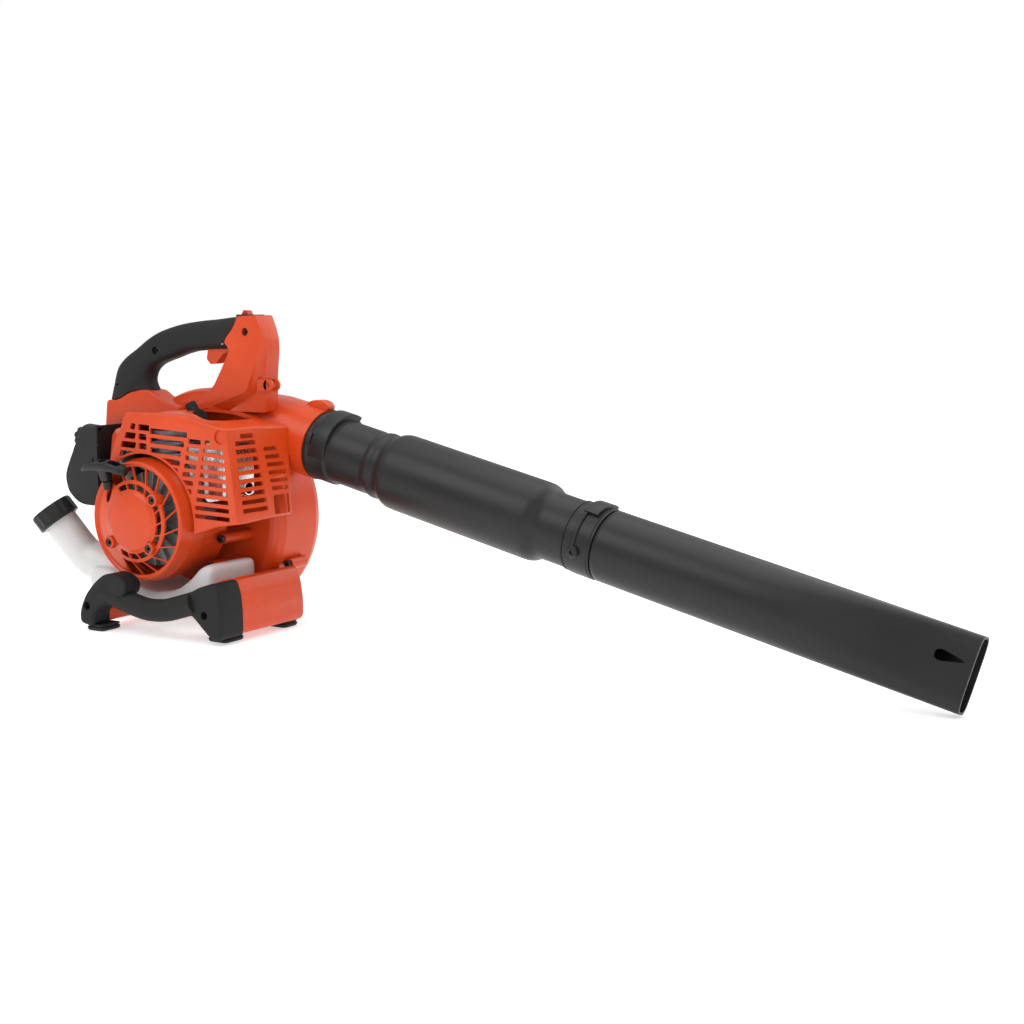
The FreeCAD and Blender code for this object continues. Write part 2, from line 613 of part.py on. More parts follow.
def engine_cover():
    back = CASE_Y0 - 1.0
    outer = prism_y(cover_outline(0), COVER_Y, back)
    outer = rounded(outer, 6, lambda e: abs(e.CenterOfMass.y - COVER_Y) < 0.01)
    inner = prism_y(cover_outline(WALL), COVER_Y + WALL, back + 10)
    shell = outer.cut(inner)
    shell = shell.cut(box(-100, 200, 0, 200, -60, 2))
    shell = shell.cut(cyl_y(STARTER_R + 7, 0, 62))
    shell = shell.cut(box(COVER_LEFT + WALL + 0.5, 110, 45, 200, -60, 30))
    shell = shell.cut(box(COVER_LEFT - 10, -50, 50, 100, 15, 78))
    cuts = []
    for row in range(4):
        z = 103 - 9.5 * row
        left = -10 - 6.5 * row
        for x0, x1 in ((left, left + 11), (left + 14, left + 24), (left + 28, 60)):
            cuts.append(box(x0, x1, 0, 60, z, z + 6))
    for row in range(6):
        z = 96 - 9.5 * row
        cuts.append(box(66 - row * 0.5, 78 - row * 0.5, 0, 50, z, z + 6))
    for row in range(8):
        z = 92 - 9.5 * row
        cuts.append(box(83, 112 + row, 0, 50, z, z + 6))
    for row in range(9):
        z = 97 - 9.5 * row
        cuts.append(box(100, 150, 40, 74, z, z + 6))
    for row in range(6):
        z = 84 - 9.5 * row
        cuts.append(box(100, 150, 80, 94 + 3 * row, z, z + 6))
    cuts.append(Part.makeCylinder(30, 40, V(44, 82, 104), Z_AXIS))
    shell = shell.cut(Part.makeCompound(cuts))
    return largest(shell)


def engine_cowl():
    """Lower half-ring that closes the engine between starter and tank."""
    ring = ring_y(STARTER_R - 0.5, STARTER_R - 3, 48.5, 84)
    keep = box(-100, 100, 40, 100, -100, -8)
    return ring.common(keep)


def cowl_standoffs():
    posts = [rod(6, V(x, 70, z), V(x, CASE_Y0, z)) for x, z in COWL_BOSSES]
    holes = [rod(2.6, V(x, 69, z), V(x, CASE_Y0 - 10, z)) for x, z in COWL_BOSSES]
    return Part.makeCompound([post.cut(hole) for post, hole in zip(posts, holes)])


# ---- handle ----
def grip_arch(shrink):
    """Arch between two smooth curves, with its four long edges rounded."""
    outer_points = []
    inner_points = []
    for (ox, oz), (ix, iz) in GRIP_SECTIONS:
        outer = V(ox, HANDLE_Y - GRIP_HALF + shrink, oz)
        inner = V(ix, HANDLE_Y - GRIP_HALF + shrink, iz)
        inward = inner - outer
        inward.normalize()
        outer_points.append(outer + inward * shrink)
        inner_points.append(inner - inward * shrink)
    curves = []
    for points in (outer_points, list(reversed(inner_points))):
        curve = Part.BSplineCurve()
        curve.interpolate(points)
        curves.append(curve.toShape())
    ends = [Part.LineSegment(outer_points[-1], inner_points[-1]).toShape(),
            Part.LineSegment(inner_points[0], outer_points[0]).toShape()]
    face = Part.Face(Part.Wire([curves[0], ends[0], curves[1], ends[1]]))
    arch = face.extrude(V(0, 2 * (GRIP_HALF - shrink), 0))
    return rounded(arch, 10.0 - shrink, lambda e: e.Curve.TypeId == "Part::GeomBSplineCurve")


def handle_core():
    """Hollow arch under the grip, the column in front and the root behind, as one moulding."""
    arch = grip_arch(3.5)
    column = prism_y(COLUMN, HANDLE_Y - HANDLE_HALF, HANDLE_Y + HANDLE_HALF)
    column = rounded(column, 4, lambda e: runs_along(Y_AXIS)(e) and e.CenterOfMass.x > 100
                     and e.CenterOfMass.z > 150)
    root = prism_y(REAR_ROOT, HANDLE_Y - HANDLE_HALF, HANDLE_Y + HANDLE_HALF)
    side = HANDLE_Y - HANDLE_HALF
    facet = prism_y([(112.5, 207), (85, 146), (60, 110), (130, 110), (130, 207)], side - 1,
                    side + FACET_DEPTH)
    facet_wall = prism_y([(112.5, 213), (81.5, 146), (56, 110), (130, 110), (130, 213)], side - 1,
                         side + FACET_DEPTH + WALL)
    column = column.cut(facet)
    lugs = [rod(7, LUG + V(0, y, 0), LUG + V(0, y + LUG_THICK, 0)) for y in (0, LUG_GAP + LUG_THICK)]
    lug_feet = [box(100, LUG.x, LUG.y + y, LUG.y + y + LUG_THICK, LUG.z - 7, LUG.z + 7)
                for y in (0, LUG_GAP + LUG_THICK)]
    solid = fused([arch, column, root] + lugs + lug_feet)
    hollow = prism_y([(62, 224), (76, 224), (103, 226), (108, 203), (106, 188), (103, 160), (102, 126),
                      (44, 126), (22, 131), (42, 150), (61, 183)], side + WALL,
                     HANDLE_Y + HANDLE_HALF - WALL)
    solid = solid.cut(hollow.cut(facet_wall))
    slot = box(12, 66, TRIGGER_Y0 - 0.6, TRIGGER_Y1 + 0.6, 165, 206)
    solid = solid.cut(slot)
    plate = box(66, 96, HANDLE_Y - 9, HANDLE_Y + 9, 222, 240)
    solid = solid.cut(plate)
    solid = solid.cut(rod(LUG_BORE, LUG - V(0, 8, 0), LUG + V(0, 26, 0)))
    solid = solid.cut(rod(2.0, V(50, 100, 199), V(50, 140, 199)))
    for x, z in HANDLE_SCREWS:
        solid = solid.cut(rod(2.2, V(x, 90, z), V(x, 140, z)))
        solid = solid.cut(rod(4.6, V(x, 90, z), V(x, HANDLE_Y - 8, z)))
    return solid


def throttle_trigger():
    blade = prism_y([(55, 203), (46, 204), (22, 196), (19, 180), (25, 174), (33, 175), (44, 186),
                     (55, 192)], TRIGGER_Y0, TRIGGER_Y1)
    blade = rounded(blade, 2, lambda e: runs_along(Y_AXIS)(e) and e.CenterOfMass.z < 190)
    return blade.cut(rod(2.0 + FIT, V(50, 100, 199), V(50, 140, 199)))


def trigger_pin():
    return rod(2.0, V(50, HANDLE_Y - HANDLE_HALF + 1, 199), V(50, HANDLE_Y + HANDLE_HALF - 1, 199))


def switch_plate():
    plate = box(66, 96, HANDLE_Y - 9, HANDLE_Y + 9, 222, 231.5)
    plate = rounded(plate, 3, runs_along(Z_AXIS))
    return plate.cut(box(71, 92, HANDLE_Y - 4.5, HANDLE_Y + 4.5, 225, 240))


def stop_switch():
    foot = box(71.5, 81.5, HANDLE_Y - 4.2, HANDLE_Y + 4.2, 225.3, 231.8)
    cap = prism_y([(71.5, 231.8), (81.5, 231.8), (79.5, 236), (74.5, 236.5)], HANDLE_Y - 4.2,
                  HANDLE_Y + 4.2)
    return foot.fuse(cap)


# ---- fuel tank ----
def tank_solid(inset):
    low = 32 + inset
    high = 112 - inset
    middle_x, middle_z = -10, -82
    points = [(x - math.copysign(inset, x - middle_x), z - math.copysign(inset, z - middle_z))
              for x, z in TANK_OUTLINE]
    body = prism_y(points, low, high)
    shoulder = NECK_TOP - NECK_DIR * 48
    neck = rod(FILLER_R - inset, NECK_TOP, shoulder)
    elbow = Part.makeSphere(FILLER_R - inset, shoulder)
    run = rod(FILLER_R - inset, shoulder, V(-60, 68, -81))
    return fused([body, neck, elbow, run])


def fuel_tank():
    outer = tank_solid(0)
    mouth = rod(MOUTH_R, NECK_TOP - NECK_DIR * 8, NECK_TOP + NECK_DIR * MOUTH_TALL)
    shell = outer.fuse(mouth).cut(tank_solid(WALL))
    shell = shell.cut(rod(MOUTH_R - WALL, NECK_TOP - NECK_DIR * 20, NECK_TOP + NECK_DIR * 10))
    return largest(shell)


def cap_gasket():
    start = NECK_TOP + NECK_DIR * (MOUTH_TALL + 0.2)
    ring = rod(MOUTH_R, start, start + NECK_DIR * 2)
    return ring.cut(rod(MOUTH_R - 3, start - NECK_DIR, start + NECK_DIR * 3))


def fuel_cap():
    """Cap with broad flutes; its hollow clears the mouth and the gasket on every side."""
    low = NECK_TOP + NECK_DIR
    top = low + NECK_DIR * CAP_TALL
    cap = rounded(rod(CAP_R, low, top), 3, lambda e: e.CenterOfMass.distanceToPoint(top) < 0.01)
    side = NECK_DIR.cross(Y_AXIS).normalize()
    other = NECK_DIR.cross(side)
    count = 12
    for k in range(count):
        a = 2 * math.pi * k / count
        spot = (side * math.cos(a) + other * math.sin(a)) * (CAP_R + 3.2)
        cap = cap.cut(rod(5, low + spot + NECK_DIR * 3, top + spot + NECK_DIR))
    hollow_deep = MOUTH_TALL + 2.0
    return cap.cut(rod(MOUTH_R + 1.0, low - NECK_DIR, low + NECK_DIR * hollow_deep))


# ---- stand ----
def front_leg():
    outline = [(92, -66), (100, -56), (128, -56), (131, -62), (134, -100), (126, -120), (98, -120),
               (94, -112)]
    block = prism_y(outline, 14, 136)
    block = rounded(block, 2.5, lambda e: runs_along(Y_AXIS)(e) and e.CenterOfMass.x > 120)
    block = block.cut(cyl_y(2.3, 10, 40, STAND_HOLES[1].x, STAND_HOLES[1].z))
    hollow = prism_y([(96, -68), (103, -59), (126, -59), (128, -64), (131, -100), (124, -117), (100, -117),
                      (97, -110)], 17, 133)
    return block.cut(hollow)


def rear_leg():
    outline = [(-92, -108), (-84, -97), (-50, -106), (-44, -110), (-44, -120), (-88, -120)]
    block = prism_y(outline, 4, 136)
    block = block.cut(cyl_y(2.3, 0, 40, STAND_HOLES[0].x, STAND_HOLES[0].z))
    block = rounded(block, 2.5, lambda e: runs_along(Y_AXIS)(e) and e.CenterOfMass.x < -85)
    hollow = prism_y([(-88, -109), (-83, -100), (-51, -109), (-47, -112), (-47, -117), (-86, -117)], 7, 133)
    return block.cut(hollow)


def support_handle():
    """Rubber-covered bar for the second hand, with the two end pieces that cap the legs."""
    rear = prism_y([(-76, -106), (-70, -86), (-48, -62), (-22, -57), (8, -67), (4, -84), (-20, -88),
                    (-28, -104), (-32, -120), (-66, -121)], -16, 3.5)
    front = prism_y([(84, -72), (112, -62), (130, -58), (139, -84), (138, -116), (120, -121), (108, -114),
                     (98, -102), (84, -98)], -6, 13.5)
    pads = []
    for solid in (rear, front):
        pads.append(rounded(solid, 2.5, lambda e, s=solid: abs(e.CenterOfMass.y - s.BoundBox.YMin) < 0.01))
    start = V(-30, -6, -80)
    end = V(92, 0, -84)
    middle = (start + end) * 0.5 + V(0, 0, -15)
    path = Part.Wire([Part.Arc(start, middle, end).toShape()])
    tangent = path.Edges[0].tangentAt(path.Edges[0].FirstParameter)
    side = tangent.cross(Y_AXIS)
    side.normalize()
    across = side.cross(tangent)
    profile = oval_wire(start, across, side, 12.0, 13.0)
    bar = path.makePipeShell([profile], True, False)
    solid = fused(pads + [bar])
    for spot in STAND_HOLES:
        solid = solid.cut(rod(4.6, spot - V(0, 5, 0), spot + V(0, 12, 0)))
        solid = solid.cut(rod(2.3, spot - V(0, 5, 0), spot + V(0, 40, 0)))
    return solid


def foot_pads():
    spots = ((-66, -30, -14, 12), (98, 128, -4, 22), (-84, -52, 112, 134), (98, 128, 112, 136))
    pads = []
    for x0, x1, y0, y1 in spots:
        pad = box(x0, x1, y0, y1, GROUND, -121.5 if y0 < 50 else -120.2)
        pads.append(rounded(pad, 4, runs_along(Z_AXIS)))
    return Part.makeCompound(pads)


# ---- air tubes, in the tube's own frame: +X along the air, origin at the rim's centre ----
def tube_turned(profile):
    points = [V(s, 0, r) for s, r in profile]
    face = polygon_face(points)
    return face.revolve(V(0, 0, 0), X_AXIS, 360)


def silencer_tube():
    bore = NECK_R - TUBE_WALL
    outside = [(GAP, SPIGOT_R + GAP), (GAP, COLLAR_R), (6, COLLAR_R), (7, COLLAR_R - 1), (30, COLLAR_R - 1),
               (36, NECK_R), (86, NECK_R), (88, NECK_R + 1.5), (94, NECK_R + 1.5), (96, NECK_R),
               (SILENCER_A, NECK_R + 0.5), (SILENCER_A + 6, SILENCER_R - 2), (SILENCER_A + 12, SILENCER_R),
               (SILENCER_B - 14, SILENCER_R), (SILENCER_B - 6, SILENCER_R - 2), (SILENCER_B, NECK_R + 1),
               (SILENCER_B + 6, NECK_R), (352, NECK_R), (354, COLLAR_R - 1), (360, COLLAR_R - 1),
               (361, COLLAR_R - 2), (377, COLLAR_R - 2), (378, COLLAR_R - 1), (385, COLLAR_R - 1),
               (NOZZLE_START - 1, NOZZLE_R), (NOZZLE_START - 1, JOINT_R), (424, JOINT_R)]
    inside = [(424, JOINT_R - TUBE_WALL), (SILENCER_B + 4, bore), (SILENCER_B - 4, SILENCER_R - TUBE_WALL),
              (SILENCER_A + 12, SILENCER_R - TUBE_WALL), (SILENCER_A + 2, bore), (30, bore),
              (26.5, SPIGOT_R + GAP)]
    tube = tube_turned(outside + inside)
    wedge = tube_turned([(14, COLLAR_R - 1.5), (14, COLLAR_R + 1.5), (22, COLLAR_R + 2.5),
                         (24, COLLAR_R - 1.5)])
    wedge = wedge.common(tube_sector(48, -20, 75))
    band = tube_turned([(361, COLLAR_R - 2.5), (361, COLLAR_R + 1), (368, COLLAR_R + 1),
                        (368, COLLAR_R - 2.5)])
    band = band.common(tube_sector(48, -35, 60))
    peg = Part.makeCylinder(5.5, 5, V(369, 0, 0), V(0, -1, -0.12))
    peg.translate(V(0, -1, -0.12) * (COLLAR_R - 3.5))
    solid = fused([tube, wedge, band, peg])
    solid = solid.cut(tube_turned([(355, 10), (355, bore - 0.2), (380, bore - 0.2), (380, 10)]))
    return on_tube(solid)


def tube_sector(radius, a0, a1):
    """Wedge about the tube's axis; 0 degrees is the top and positive turns towards -Y."""
    points = [V(0, 0, 0)]
    steps = 3
    for k in range(steps + 1):
        a = math.radians(a0 + (a1 - a0) * k / steps)
        points.append(V(0, -radius * 1.3 * math.sin(a), radius * 1.3 * math.cos(a)))
    return polygon_face(points).extrude(V(500, 0, 0))


def nozzle_body(inset, start, end):
    """Round tube that eases into the flattened, leaning mouth; inset moves its wall inwards."""
    lean = math.radians(MOUTH_LEAN)
    up = V(0, math.sin(lean), math.cos(lean))
    across = V(0, math.cos(lean), -math.sin(lean))
    steps = 9
    stations = [(start, 0.0)]
    taper = TUBE_END - NOZZLE_TAPER
    stations += [(NOZZLE_TAPER + taper * k / steps, k / steps) for k in range(steps + 1)]
    if end > TUBE_END:
        stations.append((end, 1.0))
    wires = []
    for s, u in stations:
        ease = u * u * (3 - 2 * u)
        half_up = NOZZLE_R + (MOUTH_HEIGHT - NOZZLE_R) * ease - inset
        half_across = NOZZLE_R + (MOUTH_WIDTH - NOZZLE_R) * ease - inset
        wires.append(oval_wire(V(s, 0, 0), across, up, half_across, half_up, power=2 + 2 * ease))
    return loft(wires, ruled=True)


def nozzle_tube():
    wall = NOZZLE_R - JOINT_R - GAP
    outer = nozzle_body(0, NOZZLE_START, TUBE_END)
    tube = outer.cut(nozzle_body(wall, NOZZLE_START - 5, TUBE_END + 5))
    slot = Part.makeCylinder(4.5, 40, V(TUBE_END - 32, 0, 12), V(0, -1, 0))
    tip = prism_y([(TUBE_END - 31, 16.4), (TUBE_END - 8, 12), (TUBE_END - 31, 7.6)], -40, 0)
    tube = tube.cut(slot.fuse(tip))
    rib = box(TUBE_END - 50, TUBE_END - 3, -MOUTH_WIDTH + 1, MOUTH_WIDTH - 1, -14, -12.4)
    rib.rotate(V(0, 0, 0), X_AXIS, -MOUTH_LEAN)
    return on_tube(largest(tube.fuse(rib)))


def latch_tab():
    """Loop on top of the outlet that the tube's collar locks against."""
    loop = Part.makeTorus(9, 4, V(-1, 0, RIM_R + 9), Y_AXIS)
    base = box(-12, 4, -8, 8, RIM_R - 3, RIM_R + 6)
    solid = loop.fuse(base)
    return on_tube(solid.cut(Part.makeCylinder(RIM_R + 0.2, 60, V(-30, 0, 0), X_AXIS)))


# ---- fasteners ----
def case_screws():
    spots, _ = case_lugs(CASE_Y0, CASE_Y1)
    return Part.makeCompound(screws_y(spots, 4.2, 4, 2.4, 20, CASE_SPLIT - 19))


def starter_screws():
    return Part.makeCompound(screws_y(STARTER_SCREWS, 4.7, 4.2, 2.5, 10, 0.6))


def handle_screws():
    return Part.makeCompound(screws_y(HANDLE_SCREWS, 4.3, 4, 2.15, 20, HANDLE_Y - 12))


def stand_screws():
    solids = []
    for spot in STAND_HOLES:
        solids += screws_y([(spot.x, spot.z)], 4.4, 4, 2.25, 22, spot.y + 8)
    return Part.makeCompound(solids)


def cowl_screws():
    return Part.makeCompound(screws_y(COWL_BOSSES, 4.8, 4, 2.55, 30, 66))


def without(shape, others):
    """The shape less the space that its neighbours take."""
    for other in others:
        shape = shape.cut(other)
    return shape


def build():
    solid_case, case_inner, case_outer = fan_case()
    case_inner = largest(case_inner)
    case_outer = largest(case_outer)
    lug_spots, inner_lugs = case_lugs(CASE_SPLIT - 15, CASE_SPLIT)
    _, outer_lugs = case_lugs(CASE_SPLIT, CASE_SPLIT + 12)
    hollow_guard = scroll_body(WALL)
    case_inner = fused([case_inner] + [without(lug, [hollow_guard]) for lug in inner_lugs])
    case_outer = fused([case_outer] + [without(lug, [hollow_guard]) for lug in outer_lugs])
    screw_holes = [cyl_y(2.45, CASE_SPLIT - 20, CASE_SPLIT + 8, x, z) for x, z in lug_spots]
    case_inner = without(case_inner, screw_holes)
    case_outer = without(case_outer, screw_holes)
    core = handle_core().cut(solid_case).cut(prism_y(cover_outline(-0.2), COVER_Y, CASE_Y0 - 0.8))
    grip = grip_arch(0).cut(grip_arch(3.5)).cut(core)
    grip = grip.cut(prism_y(COLUMN, 90, 150)).cut(prism_y(REAR_ROOT, 90, 150))
    grip = grip.cut(box(12, 66, TRIGGER_Y0 - 0.6, TRIGGER_Y1 + 0.6, 165, 206))
    for x, z in HANDLE_SCREWS[1:]:
        grip = grip.cut(rod(5.0, V(x, 80, z), V(x, HANDLE_Y - 6, z)))
    grip = grip.cut(rod(2.1, TRIGGER_PIVOT - V(0, 30, 0), TRIGGER_PIVOT + V(0, 30, 0)))
    nodes = {
        "fan_case_inner": case_inner,
        "fan_case_outer": case_outer,
        "intake_grille": intake_grille().cut(solid_case),
        "latch_tab": latch_tab(),
        "fan_impeller": impeller(),
        "crankshaft": crankshaft(),
        "fan_nut": fan_nut(),
        "flywheel": flywheel(),
        "flywheel_nut": flywheel_nut(),
        "starter_cover": starter_cover(),
        "rope_guide": rope_guide(),
        "starter_grip": starter_grip(),
        "starter_pulley": starter_pulley(),
        "recoil_spring": recoil_spring(),
        "starter_pawls": starter_pawls(),
        "starter_screws": starter_screws(),
        "crankcase": crankcase(),
        "crank_bearings": crank_bearings(),
        "crank_seals": crank_seals(),
        "cylinder": cylinder(),
        "piston": piston(),
        "piston_pin": piston_pin(),
        "spark_plug": spark_plug(),
        "spark_plug_boot": spark_plug_boot(),
        "ignition_coil": ignition_coil(),
        "muffler": muffler(),
        "insulator_block": insulator_block(),
        "carburetor": carburetor(),
        "throttle_shaft": throttle_shaft(),
        "primer_bulb": primer_bulb(),
        "filter_base": filter_base(),
        "filter_element": filter_element(),
        "filter_cover": filter_cover(),
        "filter_knob": filter_knob(),
        "choke_lever": choke_lever(),
        "engine_cover": engine_cover().cut(solid_case),
        "engine_cowl": engine_cowl(),
        "cowl_standoffs": cowl_standoffs(),
        "cowl_screws": cowl_screws(),
        "handle_left_shell": core.common(box(-250, 250, 50, HANDLE_Y, -50, 300)),
        "handle_right_shell": largest(core.common(box(-250, 250, HANDLE_Y, 250, -50, 300)).cut(case_inner)),
        "handle_grip": grip,
        "handle_screws": handle_screws(),
        "throttle_trigger": throttle_trigger(),
        "trigger_pin": trigger_pin(),
        "switch_plate": switch_plate(),
        "stop_switch": stop_switch(),
        "fuel_tank": fuel_tank(),
        "cap_gasket": cap_gasket(),
        "fuel_cap": fuel_cap(),
        "front_leg": front_leg().cut(solid_case),
        "rear_leg": rear_leg().cut(solid_case),
        "support_handle": support_handle(),
        "stand_screws": stand_screws(),
        "foot_pads": foot_pads(),
        "silencer_tube": silencer_tube(),
        "nozzle_tube": nozzle_tube(),
        "case_screws": case_screws(),
    }
    return nodes


def main():
    os.makedirs("parts", exist_ok=True)
    nodes = build()
    everything = FreeCAD.BoundBox()
    for shape in nodes.values():
        everything.add(shape.BoundBox)
    shift = V(-everything.Center.x, -everything.Center.y, -everything.ZMin)
    print("shift", [round(v, 4) for v in shift])
    for name, shape in nodes.items():
        shape.translate(shift)
        shape.exportStep("parts/" + name + ".step")


if __name__ == "__main__":
    main()
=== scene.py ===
"""Looks for the hand-held petrol blower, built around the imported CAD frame."""
import json
import math

import bpy
import bmesh
from mathutils import Matrix, Vector


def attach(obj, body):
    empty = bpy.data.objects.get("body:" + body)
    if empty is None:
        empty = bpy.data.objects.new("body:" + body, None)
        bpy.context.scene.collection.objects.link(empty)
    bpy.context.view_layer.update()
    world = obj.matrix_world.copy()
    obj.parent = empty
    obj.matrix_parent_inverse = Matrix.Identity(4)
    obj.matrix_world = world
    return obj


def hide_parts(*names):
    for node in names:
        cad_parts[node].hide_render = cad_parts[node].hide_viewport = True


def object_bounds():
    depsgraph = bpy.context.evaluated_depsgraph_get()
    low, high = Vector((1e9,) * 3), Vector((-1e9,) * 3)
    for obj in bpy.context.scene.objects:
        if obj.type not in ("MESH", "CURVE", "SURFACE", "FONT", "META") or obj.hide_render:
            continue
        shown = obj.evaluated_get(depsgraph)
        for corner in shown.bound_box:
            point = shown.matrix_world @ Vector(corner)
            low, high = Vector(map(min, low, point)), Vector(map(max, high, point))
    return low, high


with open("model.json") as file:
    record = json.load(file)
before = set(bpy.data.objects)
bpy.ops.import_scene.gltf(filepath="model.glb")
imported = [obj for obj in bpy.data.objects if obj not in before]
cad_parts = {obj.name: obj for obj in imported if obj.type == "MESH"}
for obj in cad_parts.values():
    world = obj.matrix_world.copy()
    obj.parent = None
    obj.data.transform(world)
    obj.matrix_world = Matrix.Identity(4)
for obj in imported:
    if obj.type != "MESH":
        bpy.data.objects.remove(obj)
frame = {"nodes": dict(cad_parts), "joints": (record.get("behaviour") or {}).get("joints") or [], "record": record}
CAD_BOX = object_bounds()

# ---- places, all worked out from the frame's joints ----
JOINTS = {joint["name"]: joint for joint in frame["joints"]}
MM = 0.001
CYLINDER_Y = 75.0            # crank joint's place along the shaft, from the starter's hub face
ORIGIN = Vector(JOINTS["crank_spin"]["pos_m"]) - Vector((0, CYLINDER_Y * MM, 0))
TUBE_DIR = Vector(JOINTS["tube_twist"]["axis"]).normalized()
RIM = Vector(JOINTS["tube_twist"]["pos_m"])
UP = Vector((0, 0, 1))
TUBE_SIDE = UP.cross(TUBE_DIR).normalized()
TUBE_UP = TUBE_DIR.cross(TUBE_SIDE).normalized()
CAP_DIR = Vector(JOINTS["cap_turn"]["axis"]).normalized()


def at(x, y, z):
    """Engine millimetres (crank axis x = z = 0, starter face y = 0) to the row frame in metres."""
    return ORIGIN + Vector((x, y, z)) * MM


def on_tube(s, side=0.0, up=0.0):
    """Millimetres along the blow tube from the outlet rim, to its side and above it."""
    return RIM + (TUBE_DIR * s + TUBE_SIDE * side + TUBE_UP * up) * MM


def axle(x, z):
    """Place function for a lathe whose axis runs beside the crank's, at (x, z) in engine millimetres."""
    return lambda s, a, b: at(x + a, s, z + b)


ON_CRANK = axle(0, 0)


# ---- materials ----
def material(name):
    mat = bpy.data.materials.new(name)
    mat.use_nodes = True
    nodes = mat.node_tree.nodes
    return mat, nodes, mat.node_tree.links, nodes["Principled BSDF"]


def object_coords(nodes):
    return nodes.new("ShaderNodeTexCoord").outputs["Object"]


def noise(nodes, links, scale, detail=3.0, roughness=0.5):
    node = nodes.new("ShaderNodeTexNoise")
    node.inputs["Scale"].default_value = scale
    node.inputs["Detail"].default_value = detail
    node.inputs["Roughness"].default_value = roughness
    links.new(object_coords(nodes), node.inputs["Vector"])
    return node


def spread(nodes, links, source, low, high, from_low=0.3, from_high=0.7):
    node = nodes.new("ShaderNodeMapRange")
    node.inputs["From Min"].default_value = from_low
    node.inputs["From Max"].default_value = from_high
    node.inputs["To Min"].default_value = low
    node.inputs["To Max"].default_value = high
    links.new(source, node.inputs["Value"])
    return node.outputs["Result"]


def blended(nodes, links, factor, one, two):
    node = nodes.new("ShaderNodeMix")
    node.data_type = "RGBA"
    links.new(factor, node.inputs["Factor"])
    node.inputs["A"].default_value = (*one, 1)
    node.inputs["B"].default_value = (*two, 1)
    return node.outputs["Result"]


def bump(nodes, links, shader, height, strength, distance):
    node = nodes.new("ShaderNodeBump")
    node.inputs["Strength"].default_value = strength
    node.inputs["Distance"].default_value = distance
    links.new(height, node.inputs["Height"])
    links.new(node.outputs["Normal"], shader.inputs["Normal"])


def moulded(name, dark, light, rough, rough_spread, grain=2200.0, depth=0.00004, sheen_scale=14.0,
            coat=0.0, specular=0.5):
    """Moulded plastic or rubber: faint mottling of colour and gloss over a fine grain."""
    mat, nodes, links, shader = material(name)
    broad = noise(nodes, links, sheen_scale, 4.0, 0.6)
    links.new(blended(nodes, links, spread(nodes, links, broad.outputs["Fac"], 0, 1), dark, light),
              shader.inputs["Base Color"])
    links.new(spread(nodes, links, broad.outputs["Fac"], rough - rough_spread, rough + rough_spread),
              shader.inputs["Roughness"])
    fine = noise(nodes, links, grain, 2.0, 0.6)
    bump(nodes, links, shader, fine.outputs["Fac"], 0.35, depth)
    shader.inputs["Coat Weight"].default_value = coat
    shader.inputs["Coat Roughness"].default_value = 0.12
    shader.inputs["Specular IOR Level"].default_value = specular
    return mat


def metal(name, dark, light, rough, grain=900.0, depth=0.00003, stretch=(1, 1, 1)):
    """Cast, machined or pressed metal with directional grain."""
    mat, nodes, links, shader = material(name)
    mapping = nodes.new("ShaderNodeMapping")
    mapping.inputs["Scale"].default_value = stretch
    links.new(object_coords(nodes), mapping.inputs["Vector"])
    fine = noise(nodes, links, grain, 4.0, 0.65)
    links.new(mapping.outputs["Vector"], fine.inputs["Vector"])
    broad = noise(nodes, links, 30.0, 3.0, 0.6)
    links.new(blended(nodes, links, spread(nodes, links, broad.outputs["Fac"], 0, 1), dark, light),
              shader.inputs["Base Color"])
    links.new(spread(nodes, links, fine.outputs["Fac"], rough - 0.08, rough + 0.1),
              shader.inputs["Roughness"])
    bump(nodes, links, shader, fine.outputs["Fac"], 0.4, depth)
    shader.inputs["Metallic"].default_value = 1.0
    return mat


ORANGE = moulded("orange_moulding", (0.53, 0.046, 0.006), (0.61, 0.060, 0.009), 0.34, 0.05, coat=0.04,
                 specular=0.32)
BLACK = moulded("black_moulding", (0.010, 0.010, 0.0105), (0.016, 0.016, 0.017), 0.46, 0.05, grain=1500.0,
                depth=0.00008, specular=0.26)
TUBE = moulded("blown_tube", (0.0110, 0.0110, 0.0115), (0.016, 0.016, 0.0165), 0.40, 0.04, grain=900.0,
               depth=0.00005, sheen_scale=8.0, specular=0.28)
RUBBER = moulded("grip_rubber", (0.012, 0.012, 0.0125), (0.018, 0.018, 0.0185), 0.62, 0.06, grain=2600.0,
                 depth=0.00012, specular=0.2)
FOOT = moulded("foot_rubber", (0.014, 0.014, 0.015), (0.022, 0.022, 0.023), 0.7, 0.06, grain=1800.0,
               depth=0.00012, specular=0.3)
RED = moulded("switch_red", (0.42, 0.008, 0.008), (0.5, 0.012, 0.012), 0.33, 0.04)
CERAMIC = moulded("plug_ceramic", (0.80, 0.79, 0.76), (0.86, 0.85, 0.82), 0.15, 0.03, coat=0.6)
PRIMER = moulded("primer_rubber", (0.42, 0.36, 0.24), (0.52, 0.45, 0.32), 0.3, 0.05)
FOAM = moulded("filter_foam", (0.02, 0.02, 0.02), (0.06, 0.06, 0.06), 0.95, 0.03, grain=700.0, depth=0.0006)
FAN = moulded("fan_moulding", (0.030, 0.030, 0.032), (0.045, 0.045, 0.047), 0.5, 0.06)
CAST = metal("cast_aluminium", (0.30, 0.30, 0.31), (0.42, 0.42, 0.43), 0.52, grain=1200.0, depth=0.00015)
STEEL = metal("machined_steel", (0.40, 0.40, 0.41), (0.52, 0.52, 0.53), 0.30, stretch=(1, 12, 1))
BRIGHT = metal("pressed_steel", (0.62, 0.61, 0.59), (0.78, 0.77, 0.75), 0.24, grain=300.0)
SCREW = moulded("black_oxide", (0.010, 0.010, 0.011), (0.018, 0.018, 0.019), 0.34, 0.08, grain=1200.0)


